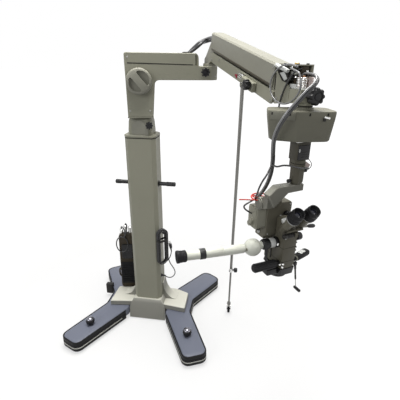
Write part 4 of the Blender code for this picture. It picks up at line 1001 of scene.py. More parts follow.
def foot_pedal():
    """The foot pedal that hangs at the left of the column, with its cable in a loop."""
    outline = rounded(
        ((-0.056, 0.0, 0.024), (0.056, 0.0, 0.024), (0.052, 0.405, 0.02), (-0.052, 0.405, 0.02)), 8,
    )
    sections = (
        (-0.02, 0.93, 0.975, 0.005), (-0.0165, 1.0, 1.0, 0.0), (0.0165, 1.0, 1.0, 0.0),
        (0.02, 0.95, 0.985, 0.003),
    )
    shell = loft(
        [
            [(x * wide, depth, z * tall + lift) for x, z in outline]
            for depth, wide, tall, lift in sections
        ],
    )
    piece(moved(shell, PEDAL), "pedal_shell", "stand", "brown", "foot_pedal")
    pad = prism(rounded_at(0.0, 0.117, 0.05, 0.083, 0.006, 4), -0.0225, -0.0195, "xz")
    treads = []
    for k in range(9):
        low = 0.045 + 0.0165 * k
        high = low + 0.009
        outline = rounded(
            ((-0.045, low, 0.003), (0.045, low, 0.003), (0.045, high, 0.003), (-0.045, high, 0.003)), 3,
        )
        treads.append(bevelled(prism(outline, -0.0275, -0.0195, "xz"), 0.0015, 2))
    piece(moved(joined(bevelled(pad, 0.0012, 2), *treads), PEDAL), "pedal_tread", "stand", "rubber")
    outline = rounded_at(0.0, 0.282, 0.038, 0.052, 0.012)
    sections = ((-0.019, 1.0), (-0.0265, 0.98), (-0.0295, 0.86))
    rocker = loft([[(x * wide, depth, z) for x, z in outline] for depth, wide in sections])
    piece(moved(rocker, PEDAL), "pedal_rocker", "stand", "black")
    ends = []
    for x, z, tip in ((-0.034, 0.385, 0.436), (-0.008, 0.39, 0.462), (0.02, 0.39, 0.452)):
        profile = (
            (0.013, z), (0.013, z + 0.01), (0.0105, z + 0.012), (0.0105, tip - 0.016),
            (0.0125, tip - 0.014), (0.0125, tip - 0.004), (0.006, tip),
        )
        ends.append(moved(solid(profile, steps=32), (x, 0.004, 0)))
    piece(moved(joined(*ends), PEDAL), "pedal_connectors", "stand", "chrome")
    loop = [
        (-0.034, 0.004, 0.43), (-0.034, 0.002, 0.448), (-0.022, -0.014, 0.452), (-0.008, -0.026, 0.43),
    ]
    for k, (x, z) in enumerate(arc((-0.031, 0.338), (0.036, 0.056), 60, -292, 16)):
        loop.append((x, -0.0275 - 0.0003 * k, z))
    loop += [(0.0, -0.03, 0.42), (0.004, -0.012, 0.46), (-0.004, 0.0, 0.472), (-0.008, 0.004, 0.458)]
    piece(moved(pipe(smooth_route(loop, 3), 0.0036), PEDAL), "pedal_loop", "stand", "cable")
    guard = (
        (-0.059, 0.01, 0.075), (-0.066, 0.006, 0.09), (-0.0665, 0.004, 0.12), (-0.06, 0.008, 0.138),
    )
    piece(moved(pipe(smooth_route(guard, 4), 0.0055), PEDAL), "pedal_catch", "stand", "brown")


# Arm and knobs


def lobed(radius, depth, lobes=8):
    """A scalloped hand knob along +X, with a dished face and a centre cap."""
    profile = (
        (0.5 * radius, 0.0), (0.5 * radius, 0.18 * depth), (0.8 * radius, 0.22 * depth, 0.12),
        (0.96 * radius, 0.34 * depth, 0.2), (radius, 0.46 * depth, 0.22), (radius, 0.84 * depth, 0.22),
        (0.95 * radius, 0.95 * depth, 0.2), (0.86 * radius, depth, 0.14), (0.6 * radius, depth),
        (0.56 * radius, 0.93 * depth), (0.4 * radius, 0.93 * depth), (0.37 * radius, 0.99 * depth),
        (0.2 * radius, depth), (0, depth),
    )
    return turned(profile, "x", 128, lobes, 1.6)


def knob_piece(node, body, base, place, turn, radius, depth):
    grip = moved(lobed(radius, depth), base @ pose(place, turn, "Z"))
    piece(grip, f"{node}_grip", body, "black", node)


def tension_knob():
    """The large round knob with a grip bar between two finger recesses."""
    radius = 0.064
    dome = [
        (0.05, 0.0), (0.05, 0.005), (radius - 0.002, 0.0075), (radius, 0.01), (radius, 0.024),
        (radius - 0.0015, 0.0275),
    ]
    knob = turned(dome + arc((0, 0.0285), (radius - 0.003, 0.0095), 0, 90, 9, 1), steps=96)
    recess = (
        (0.0175, -0.044, 0.006), (0.034, -0.0375, 0.01), (0.05, -0.017, 0.02), (0.0535, 0.0, 0.02),
        (0.05, 0.017, 0.02), (0.034, 0.0375, 0.01), (0.0175, 0.044, 0.006),
    )
    outlines = [rounded([(way * x, way * y, r) for x, y, r in recess], 5) for way in (-1, 1)]
    cut(knob, *[prism(outline, 0.017, 0.06) for outline in outlines])
    bevelled(knob, 0.0012, 3, 40)
    place = ARM @ Vector((-0.004, -ARM_HALF_DEPTH - 0.0005, 1.464))
    spin = Matrix.Rotation(math.radians(40), 4, "Z")
    moved(knob, spin, AXES["-y"], Matrix.Translation(place) @ ARM)
    piece(knob, "tension_dial", "tension_knob", "pale", "tension_knob")


def screw_head(radius, height):
    """A slotted pan-head screw that stands along +Z."""
    head = solid(((radius, -0.001), (radius, height * 0.6), (radius * 0.8, height)), steps=28)
    return cut(head, prism(rounded_box(radius * 2, radius * 0.12, 0), height * 0.45, height * 3))


def screws(name, body, base, level, spots, radius, height, axis="-y"):
    """Screw heads that stand along the axis, on a flat face at the level."""
    plane = "xy" if axis == "z" else "xz"
    heads = []
    for k, spot in enumerate(spots):
        turn = Matrix.Rotation(0.7 * k + 0.3, 4, "Z")
        place = at_plane(plane, spot, level)
        heads.append(moved(screw_head(radius, height), turn, AXES[axis], place, base))
    piece(joined(*heads), name, body, "satin_steel")


def arm_pieces():
    """The knobs, stripes, seam, lower rim and screws of the first arm."""
    tension_knob()
    knob_piece("arm_lock_knob", "arm_lock_knob", IDENTITY, ARM_LOCK_AT, -72, 0.0205, 0.024)
    knob_piece("yoke_lock_knob", "yoke_lock_knob", ARM, (0.33, -0.076, 1.508), -90, 0.0225, 0.026)
    front = -ARM_HALF_DEPTH
    outline = ((-0.0565, 1.5455), (0.268, 1.5405), (0.268, 1.5445), (-0.0565, 1.551))
    for name, start in (("arm_stripe", front - 0.0006), ("arm_stripe_back", -front - 0.001)):
        stripe = bevelled(prism(outline, start, start + 0.0016, "xz"), 0.0002, 1)
        piece(moved(stripe, ARM), name, "arm", "stripe")
    outline = ((0.2815, 1.541), (0.285, 1.541), (0.285, 1.586), (0.2815, 1.59))
    groove = prism(outline, front - 0.0004, front + 0.001, "xz")
    piece(moved(groove, ARM), "arm_end_seam", "arm", "seam")
    rim = prism(rounded_at(-0.003, 1.2865, 0.0665, 0.003, 0.002, 2), -0.0745, 0.0745, "xz")
    cut(rim, block((-0.058, -0.067, 1.2), (0.052, 0.067, 1.4)))
    piece(moved(rim, ARM), "arm_lower_rim", "arm", "beige")
    spots = ((-0.055, 1.32), (0.045, 1.32), (-0.055, 1.575), (0.385, 1.49))
    screws("arm_screws", "arm", ARM, front, spots, 0.0045, 0.0018)


def bend_between(obj):
    """Frees a piece that spans a joint: unparents it, drops its body tag and bakes its place into its mesh.
    """
    obj.parent = None
    if "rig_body" in obj:
        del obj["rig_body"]
    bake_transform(obj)


def yoke_cables():
    """Three fat cables that leave the top of the first arm and enter the end of the spring arm."""
    for k, (side, lift, radius) in enumerate(
        ((-0.017, 0.0, 0.008), (0.001, 0.008, 0.0085), (0.018, 0.001, 0.0075)),
    ):
        points = points_in(
            ARM, (0.235, side * 1.4, 1.585), (0.258, side * 1.3, 1.6),
            (0.286, side * 1.2, 1.618 + lift), (0.318, side * 1.1, 1.643 + lift),
        )
        points += points_in(
            FORE, (-0.034, side, 1.664 + lift), (0.02, side, 1.668 + 0.4 * lift),
            (0.07, side * 0.9, 1.661), (0.092, side * 0.8, 1.655),
        )
        cable = piece(pipe(smooth_route(points, 5), radius), f"yoke_cable_{k}", "arm", "cable")
        bend_between(cable)
    collar = bevelled(prism(rounded_at(0.246, 0.0, 0.022, 0.04, 0.012), 1.5965, 1.603), 0.0015, 2)
    piece(moved(collar, ARM), "arm_cable_gland", "arm", "satin")


# Spring arm, pole and wrist


def spring_arm_pieces():
    """What sits on and in the two links: spring, shade, dark strips of painted shade along the cover's lower
    edge, screws, marker and clamp plate.
    """
    upper = link_frame(UPPER_PIVOT_Z)
    lower = link_frame(LOWER_PIVOT_Z)
    half = LINK_HALF_WIDTH
    knob_at = (CLAMP_KNOB[0], -CLAMP_FACE - 0.0005, CLAMP_KNOB[1])
    knob_piece("clamp_knob", "clamp_knob", lower, knob_at, -90, 0.02, 0.026)
    spring = moved(coil_spring(0.0155, 0.0024, 0.5, 62, 14), AXES["x"], (0.085, 0, 0.006), upper)
    piece(spring, "balance_spring", "upper_link", "satin_steel")
    start, end = 0.02, LINK_LENGTH - 0.035
    outline = ((start, -0.03), (end, -0.03), (end, -0.01), (start, -0.01))
    shade = prism(outline, -half + 0.0055, half - 0.0055, "xz")
    piece(moved(shade, upper), "cover_inner_shade", "upper_link", "seam")
    # Painted shade: dark strips along the cover's lower edge stand for the shaded gap above the lower link.
    trim = []
    for middle in (-half - 0.0004, half + 0.0004):
        low, high = (0.0, middle - 0.0006, -0.036), (LINK_LENGTH, middle + 0.0006, -0.0275)
        trim.append(block(low, high, 0.0003))
    piece(moved(joined(*trim), upper), "cover_gap_shade", "upper_link", "band")
    spots = ((0.006, 0.0), (LINK_LENGTH - 0.004, 0.028), (LINK_LENGTH - 0.004, -0.026))
    screws("cover_screws", "upper_link", upper, -half, spots, 0.0042, 0.0016)
    spots = ((0.0, 0.0), (LINK_LENGTH, 0.0), (0.1, 0.02))
    screws("link_screws", "lower_link", lower, -half, spots, 0.0055, 0.002)
    screws("link_screws_far", "lower_link", lower, half, spots[:2], 0.0055, 0.002, "y")
    outline = ((0.301, 0.0045), (0.331, -0.0065), (0.331, 0.0125))
    marker = bevelled(prism(outline, -half - 0.0016, -half - 0.0006, "xz"), 0.0003, 1)
    piece(moved(marker, lower), "red_marker", "lower_link", "crimson")
    wings = (
        ((0.356, -half - 0.012, 0.008), (0.406, -half + 0.001, 0.022), 0.003),
        ((0.374, -half - 0.016, 0.018), (0.414, -half + 0.001, 0.029), 0.003),
    )
    block_pieces(lower, (("clamp_plate", "lower_link", "steel", *wings),))


def pole_pieces():
    """The support pole: its eye, upper tube, lock grip, lower tube, fork and castor."""
    frame_at = pole_frame()
    split, foot = -POLE_SPLIT, -POLE_REACH
    shaft = moved(solid(((0.0075, split), (0.0075, -0.012), (0.006, -0.006)), steps=32), frame_at)
    rows = ((0.0045, -0.008), (0.0105, -0.008), (0.0115, -0.007))
    eye = turned([*mirrored(rows), rows[0]], "y", 40)
    moved(eye, Matrix.Translation(POLE_PIN) @ Matrix.Rotation(FOREARM_TURN, 4, "Z"))
    piece(joined(shaft, eye), "pole_shaft", "pole", "pole", "pole_upper")
    rows = ((0.0105, split - 0.002), (0.012, split), (0.012, split + 0.022), (0.01, split + 0.026))
    piece(moved(solid(rows, steps=40), frame_at), "pole_collar", "pole", "chrome")
    rows = (
        (0.004, 0.006), (0.004, 0.015), (0.0115, 0.017, 0.1), (0.014, 0.021, 0.14),
        (0.014, 0.032, 0.14), (0.0115, 0.037, 0.1), (0, 0.038),
    )
    grip = moved(solid(rows, "x", 84, 7), (0, 0, split + 0.012), frame_at)
    piece(grip, "pole_lock_grip", "pole", "black")
    rows = (
        (0.0105, foot + 0.046), (0.011, foot + 0.048), (0.011, foot + 0.07), (0.0055, foot + 0.078),
        (0.0055, split + 0.18),
    )
    piece(moved(solid(rows, steps=32), frame_at), "pole_rod", "pole_lower", "pole", "pole_lower")
    low, high = foot - 0.009, foot + 0.047
    outline = rounded(
        ((-0.009, low, 0.008), (0.009, low, 0.008), (0.01, high, 0.003), (-0.01, high, 0.003)), 5,
    )
    cheeks = [
        bevelled(prism(outline, middle - 0.0013, middle + 0.0013, "yz"), 0.0005, 2)
        for middle in (-0.012, 0.012)
    ]
    bridge = block((-0.0133, -0.01, foot + 0.038), (0.0133, 0.01, foot + 0.048), 0.0012)
    piece(moved(joined(bridge, *cheeks), frame_at), "pole_fork", "pole_lower", "steel")
    rows = (
        (0.004, -0.0125), (0.004, -0.008), (0.012, -0.008), (0.013, -0.0065), (0.018, -0.0065),
        (0.019, -0.008), (0.022, -0.008), (0.026, -0.004),
    )
    wheel = moved(turned(mirrored(rows), "x", 56), (0, 0, foot), frame_at)
    piece(wheel, "castor_wheel", "pole_wheel", "rubber", "pole_wheel")


WRIST_BLOCKS = (
    (
        "wrist_dark_edges", "wrist", "seam", ((0.7385, -0.0305, 1.47), (0.745, -0.0265, 1.524), 0.001),
        ((0.8378, -0.0325, 1.449), (0.839, -0.0315, 1.479), 0.0003),
    ),
    (
        "wrist_plates", "wrist", "label", ((0.772, -0.022, 1.496), (0.801, -0.019, 1.533), 0.0008),
        ((0.836, -0.024, 1.4795), (0.904, 0.024, 1.483), 0.0008),
        ((0.776, -0.014, 1.5), (0.786, 0.016, 1.52), 0.001),
        ((0.822, -0.0235, 1.48), (0.86, -0.0205, 1.4935), 0.0008),
    ),
    (
        "wrist_blocks", "wrist", "brown", ((0.838, -0.02, 1.484), (0.852, 0.016, 1.512), 0.0015),
        ((0.842, -0.008, 1.52), (0.858, 0.018, 1.5455), 0.0015),
    ),
)


def wrist_pieces():
    """The bright works inside the open end of the spring arm."""
    knob_piece("wrist_knob", "wrist_knob", FORE, (WRIST_FRONT + 0.0005, 0.0, 1.463), 0, 0.026, 0.04)
    rows = (
        (0.0115, 1.4705), (0.012, 1.4715), (0.012, 1.496), (0.0105, 1.4975), (0.0105, 1.501),
        (0.012, 1.5025), (0.012, 1.519), (0.009, 1.524),
    )
    can = moved(solid(rows, steps=48), (0.812, 0.006, 0))
    base = block((0.79, -0.02, 1.452), (0.832, 0.02, 1.4702), 0.0015)
    piece(moved(joined(can, base), FORE), "wrist_can", "wrist", "chrome", "wrist_rods")
    sloped = solid(((0.0045, 0.0), (0.0045, 0.052), (0.003, 0.058)), steps=28)
    upright = solid(((0.004, 0.0), (0.004, 0.05)), steps=28)
    moved(sloped, pose((0.806, -0.012, 1.462), -48, "Y"))
    moved(upright, (0.862, 0.01, 1.483))
    piece(moved(joined(sloped, upright), FORE), "wrist_bars", "wrist", "chrome")
    pin = solid(((0.0065, 0.0), (0.0065, 0.074), (0.005, 0.077)), steps=32)
    piece(moved(pin, pose((0.756, -0.0385, 1.548), 103, "Y"), FORE), "wrist_pin", "wrist", "label")
    # Painted shade: a dark sheet on the open end stands for the shade inside it.
    outline = ((0.748, 1.549), (0.818, 1.549), (0.832, 1.493), (0.789, 1.501), (0.75, 1.534))
    opening = prism(outline, -0.0328, -0.0318, "xz")
    piece(moved(opening, FORE), "wrist_opening_shade", "wrist", "seam")
    outline = ((0.774, 1.524), (0.8, 1.529), (0.822, 1.508), (0.806, 1.5015))
    cover = bevelled(prism(outline, -0.0345, -0.032, "xz"), 0.0006, 2)
    piece(moved(cover, FORE), "wrist_side_plate", "wrist", "label")
    stub = solid(((0.0085, 1.482), (0.0085, 1.513), (0.007, 1.515)), steps=36)
    piece(moved(stub, (0.888, 0.008, 0), FORE), "wrist_stub", "wrist", "pink")
    block_pieces(FORE, WRIST_BLOCKS)
    spots = ((0.868, 0.004), (0.868, -0.017), (0.886, -0.014))
    coils = [moved(coil_spring(0.0085, 0.0017, 0.032, 7), (x, y, 1.481)) for x, y in spots]
    piece(moved(joined(*coils), FORE), "wrist_springs", "wrist", "chrome")
    rows = ((0.0055, 1.48), (0.0055, 1.517), (0.004, 1.519))
    cores = [moved(solid(rows, steps=28), (x, y, 0)) for x, y in spots]
    piece(moved(joined(*cores), FORE), "wrist_spring_cores", "wrist", "copper")
    rows = (
        (0.01, 1.521), (0.017, 1.521), (0.018, 1.5225), (0.018, 1.5275), (0.017, 1.529), (0.012, 1.529),
        (0.01, 1.527), (0.01, 1.521),
    )
    piece(moved(turned(rows, steps=48), (0.824, -0.004, 0), FORE), "wrist_ring", "wrist", "white")
    nut = solid(((0.0075, 1.5505), (0.0075, 1.5545), (0.005, 1.556)), steps=6)
    piece(moved(nut, (0.8163, 0.0, 0), FORE), "wrist_nut", "wrist", "brass", angle=20)
    rows = ((0.005, 1.5505), (0.005, 1.553), (0.0035, 1.554))
    spots = ((0.78, -0.02), (0.792, 0.02), (0.848, -0.018), (0.846, 0.02))
    caps = [moved(solid(rows, steps=24), (x, y, 0)) for x, y in spots]
    piece(moved(joined(*caps), FORE), "wrist_cap_screws", "wrist", "satin")
    spots = ((0.762, 1.445), (0.79, 1.452), (0.89, 1.452))
    screws("wrist_screws", "wrist", FORE, -LINK_HALF_WIDTH, spots, 0.004, 0.0016)
    rows = ((0.008, -0.012), (0.0095, -0.009), (0.0095, 0.004), (0.0075, 0.006), (0.007, 0.018))
    gland_at = facing(CABLE_MAIN[0], (CABLE_MAIN[1] - CABLE_MAIN[0]).normalized())
    piece(moved(solid(rows, steps=36), gland_at), "wrist_gland", "wrist", "black")


# Cables between the spring arm, the coupling box and the head

CABLE_MAIN = [
    Vector(p)
    for p in (
        (0.734, -0.664, 1.514), (0.742, -0.676, 1.523), (0.753, -0.692, 1.522), (0.765, -0.71, 1.517),
        (0.767, -0.728, 1.507), (0.756, -0.744, 1.492), (0.736, -0.756, 1.473), (0.715, -0.766, 1.449),
        (0.688, -0.772, 1.414), (0.668, -0.766, 1.376), (0.659, -0.754, 1.337), (0.66, -0.738, 1.3),
        (0.664, -0.714, 1.262), (0.664, -0.69, 1.216), (0.658, -0.67, 1.175), (0.645, -0.662, 1.14),
        (0.627, -0.667, 1.112), (0.627, -0.667, 1.0866),
    )
]
CABLE_RADIUS = 0.0046
# The cable's stretches: first and last point, and the two bodies that each one runs between.
CABLE_STRETCHES = (
    (0, 9, "wrist", "suspension"), (9, 11, "suspension", "x_slide"), (11, 12, "x_slide", "y_slide"),
    (12, 13, "y_slide", "focus"), (13, 15, "focus", "bracket"), (15, 17, "bracket", "head"),
)
SPAN_STEPS = 6


def jointed_cable(name, points, radius, look, stretches, replaced=()):
    """A held cable in stretches, each made on its first body and then freed from it by bend_between."""
    route = smooth_route(points, SPAN_STEPS)
    for k, (first, last, upper, lower) in enumerate(stretches):
        part = route[first * SPAN_STEPS : last * SPAN_STEPS + 1]
        obj = piece(pipe(part, radius), f"{name}_{k}", upper, look, *(replaced if k == 0 else ()))
        bend_between(obj)


def cables():
    """The main cable with the grey one beside it, whose lighter grey on the main cable's upper side is partly
    a painted highlight, the loop at the wrist and the drop to the box.
    """
    jointed_cable("cable_main", CABLE_MAIN, CABLE_RADIUS, "cable", CABLE_STRETCHES, ("cable_main",))
    # Partly painted highlight: near the top the grey lead rides on the main cable's upper side, where its
    # lighter grey stands for that cable's highlight.
    beside = []
    for k, place in enumerate(CABLE_MAIN):
        share = min(1.0, k / 3) * min(1.0, (len(CABLE_MAIN) - 1 - k) / 2)
        below = min(1.0, max(0.0, (k - 8) / 4))
        near = Vector((-0.0052, -0.003, 0.0052)).lerp(Vector((-0.0066, -0.003, 0.0)), below)
        beside.append(place + near * share + Vector((-0.007, 0.004, 0.0)) * (1 - share))
    jointed_cable("cable_grey_highlight", beside, 0.0036, "grey_cable", CABLE_STRETCHES)
    loop = [(0.828, 0.004, 1.533), (0.848, -0.016, 1.546)]
    for k, (across, up) in enumerate(arc((0, 0), (0.094, 0.0585), 62, 400, 32)):
        loop.append((0.837 + across + 0.12 * up, -0.0445 - 0.01 * k / 32, 1.492 + up))
    loop += [(0.875, -0.052, 1.538), (0.85, -0.04, 1.54), (0.832, -0.012, 1.53)]
    wound = moved(pipe(smooth_route(loop, 3), 0.0028), FORE)
    piece(wound, "cable_loop", "wrist", "grey_cable")
    drop = points_in(
        FORE, (0.856, -0.006, 1.54), (0.853, -0.03, 1.528), (0.824, -0.038, 1.486),
        (0.808, -0.0395, 1.452), (0.801, -0.04, 1.433),
    )
    drop += [drop[-1] + Vector((-0.001, 0.001, -0.01)), drop[-1] + Vector((-0.0012, 0.001, -0.018))]
    cable = piece(pipe(smooth_route(drop, 6), 0.003), "cable_drop", "wrist", "cable")
    bend_between(cable)


# Coupling box, column and bracket


def box_face(first, second, share, height, out=0.0):
    """The frame at a point of a side face of the box, with Y into the box and X along the face."""
    a, b = Vector((*first, 0)), Vector((*second, 0))
    normal = Vector((b.y - a.y, a.x - b.x, 0)).normalized()
    place = a.lerp(b, share) + normal * out + Vector((0, 0, height))
    return BOX @ Matrix.Translation(place) @ normal.to_track_quat("-Y", "Z").to_matrix().to_4x4()


def box_pieces():
    """The latch, notches, rims, collar and seams of the coupling box."""
    tilt = Matrix.Rotation(math.radians(14), 4, "Y")
    latch = block((-0.0095, -0.004, -0.0026), (0.0085, 0.003, 0.0026), 0.0008)
    moved(latch, tilt, box_face(BOX_MIDDLE, BOX_RIGHT, 0.715, 1.403, -0.0004))
    piece(latch, "box_latch", "suspension", "chrome")
    foot = block((-0.0045, -0.003, -0.0075), (0.003, 0.003, 0.002), 0.0008)
    moved(foot, box_face(BOX_MIDDLE, BOX_RIGHT, 0.655, 1.4, -0.0004))
    piece(foot, "box_latch_foot", "suspension", "satin")
    notches = []
    for first, second, share in (
        (BOX_LEFT, BOX_MIDDLE, 0.17), (BOX_LEFT, BOX_MIDDLE, 0.735), (BOX_MIDDLE, BOX_RIGHT, 0.275),
        (BOX_MIDDLE, BOX_RIGHT, 0.73),
    ):
        notch = block((-0.0022, -0.0012, -0.006), (0.0022, 0.0015, 0.0022), 0.0004)
        notches.append(moved(notch, box_face(first, second, share, BOX_TOP - 0.006)))
    piece(joined(*notches), "box_notches", "suspension", "seam")
    half = (Vector(BOX_MIDDLE) - Vector(BOX_LEFT)).length / 2
    lid = block((-half + 0.012, -0.0006, -0.012), (half - 0.01, 0.001, 0.011), 0.0005)
    moved(lid, box_face(BOX_LEFT, BOX_MIDDLE, 0.5, BOX_TOP - 0.014))
    piece(lid, "box_upper_rim", "suspension", "box_rim")
    rows = (
        (0.0215, 0.0073), (0.0262, 0.0073), (0.027, 0.006), (0.027, 0.001), (0.029, 0.0002),
        (0.0215, 0.0002),
    )
    ring = turned([(radius, BOX_TOP + height) for radius, height in rows], steps=56)
    piece(moved(ring, BOX), "box_collar", "suspension", "box")
    rows = ((0.0205, 1.43), (0.0235, 1.43), (0.0235, 1.4322), (0.0205, 1.4322), (0.0205, 1.43))
    piece(moved(turned(rows, steps=56), BOX), "box_neck_seam", "suspension", "seam")
    plate = block((-0.046, -0.036, BOX_BOTTOM - 0.0003), (0.046, 0.037, BOX_BOTTOM + 0.001), 0.0002)
    piece(moved(plate, HEAD), "box_under_plate", "suspension", "satin")


COLUMN_BLOCKS = (
    (
        "slider_window", "y_slide", "label",
        ((-0.0215, -0.024, 1.2905), (-0.0165, -0.0228, 1.301), 0.0005),
    ),
    (
        "slider_panel_bars", "y_slide", "satin",
        *(((-0.009, -0.0246, z), (0.015, -0.0228, z + 0.0022), 0.0005) for z in (1.272, 1.28, 1.288)),
    ),
)


def column_pieces():
    """The small things on the slider and on the focus column."""
    panel = block((-0.0235, -0.0234, 1.265), (0.0225, -0.0213, 1.312), 0.0008)
    piece(moved(panel, HEAD), "slider_dark_panel", "y_slide", "black", "slider_panel")
    block_pieces(HEAD, COLUMN_BLOCKS)
    band = arc((0, 0), (0.0252, 0.0252), 22.5, 337.5, 7)
    ring = cut(prism(band, 1.249, 1.2506), prism(offset(band, -0.003), 1.2, 1.3))
    piece(moved(ring, HEAD), "column_band", "focus", "seam")
    knob_piece("focus_knob", "focus_knob", HEAD, (0.0232, -0.002, 1.222), 0, 0.0085, 0.012)
    knob_piece("bracket_knob", "bracket_knob", HEAD, (-0.0224, -0.001, 1.19), 180, 0.007, 0.014)
    tag = prism(((0.024, 1.254), (0.046, 1.24), (0.04, 1.231), (0.024, 1.231)), -0.008, -0.007, "xz")
    piece(moved(bevelled(tag, 0.0003, 1), HEAD), "focus_tag", "focus", "pink")
    wire = (
        (0.022, -0.006, 1.258), (0.034, -0.008, 1.26), (0.047, -0.009, 1.246), (0.05, -0.008, 1.236),
        (0.043, -0.007, 1.226), (0.035, -0.005, 1.223),
    )
    piece(moved(pipe(smooth_route(wire, 5), 0.0013, 8), HEAD), "focus_wire", "focus", "cable")
    focus_lead()


def focus_lead():
    """The lead from the focus knob over to the main cable, out beside it and down to the lamp."""
    lead = points_in(
        HEAD, (0.029, -0.013, 1.228), (0.02, -0.03, 1.235), (0.0072, -0.033, 1.2395),
        (-0.01, -0.033, 1.2405), (-0.0296, -0.0325, 1.245), (-0.0582, -0.031, 1.253),
        (-0.0818, -0.029, 1.256), (-0.101, -0.024, 1.253),
    )
    lead.append(CABLE_MAIN[12] + Vector((-0.006, -0.0095, -0.017)))
    lead += points_in(
        HEAD, (-0.124, -0.006, 1.224), (-0.135, -0.001, 1.202), (-0.141, 0.006, 1.178),
        (-0.139, 0.018, 1.154), (-0.126, 0.044, 1.132), (-0.114, 0.064, 1.116), (-0.127, 0.069, 1.106),
        (-0.148, 0.07, 1.0965), (-0.154, 0.0705, 1.088), (-0.144, 0.0725, 1.0745),
        (-0.119, 0.075, 1.056),
    )
    route = smooth_route(lead, SPAN_STEPS)
    for k, (first, last, upper, lower) in enumerate(
        ((0, 9, "focus", None), (9, 13, "focus", "bracket"), (13, 19, "bracket", "head")),
    ):
        part = route[first * SPAN_STEPS : last * SPAN_STEPS + 1]
        obj = piece(pipe(part, 0.003), f"cable_lead_{k}", upper, "cable")
        if lower:
            bend_between(obj)


def bracket_pieces():
    """The tilt disc and screws of the bracket, and the red tie around the leads."""
    disc = solid(((0.015, -0.114), (0.0165, -0.1128), (0.0165, -0.1115)), "x", 48)
    piece(moved(disc, (0, 0.045, 1.104), HEAD), "tilt_disc", "bracket", "bracket")
    spots = ((0.012, -0.006), (0.012, 0.012), (-0.06, 0.003))
    screws("bracket_screws", "bracket", HEAD, 1.177, spots, 0.0035, 0.0014, "z")
    for k, (size, slant) in enumerate(((0.029, 0.003), (0.0245, -0.005))):
        ring = []
        for i, (x, y) in enumerate(arc((-0.09, 0.0749), (size, size), 0, 360, 24)):
            ring.append((x, y, 1.115 + slant * math.sin(2 * math.pi * i / 24 + 0.8)))
        piece(moved(pipe(ring, 0.0024, 8), HEAD), f"red_tie_ring_{k}", "bracket", "red")
    tail = (
        (-0.105, 0.048, 1.115), (-0.122, 0.05, 1.1165), (-0.14, 0.05, 1.1195), (-0.162, 0.051, 1.1235),
        (-0.186, 0.052, 1.127),
    )
    piece(moved(pipe(smooth_route(tail, 4), 0.0022, 8), HEAD), "red_tie_tail", "bracket", "red")


# Head


HEAD_BLOCKS = (
    ("lamp_cover", "head", "light", ((-0.1145, 0.052, 1.01), (-0.1115, 0.098, 1.078), 0.001)),
    ("blank_plate", "head", "label", ((-0.026, 0.0405, 1.008), (0.02, 0.0425, 1.0395), 0.0006)),
    ("blank_plate_edge", "head", "satin", ((-0.0275, 0.0412, 1.0065), (0.0215, 0.0424, 1.041), 0.0006)),
    ("carrier_side_strip", "head", "black", ((0.03, 0.046, 1.06), (0.0335, 0.092, 1.086), 0.001)),
    (
        "body_side_notches", "head", "black",
        *(
            ((0.0285, -0.0098, z), (0.0312, -0.004, z + 0.005), 0.0005)
            for z in (0.915, 0.928, 0.947, 0.958)
        ),
    ),
    (
        "body_rails", "head", "satin", ((0.03, 0.02, 0.879), (0.0325, 0.024, 0.933), 0.0006),
        ((-0.0325, 0.056, 0.864), (-0.03, 0.06, 0.92), 0.0006),
    ),
    ("bino_lip", "head", "dark", ((-0.0335, -0.0295, 1.008), (0.0335, -0.0245, 1.015), 0.0012)),
    ("filter_arm", "head", "satin", ((0.033, 0.02, 0.8225), (0.048, 0.04, 0.83), 0.0015)),
)
LENS_AT = (-0.003, 0.045, 0)
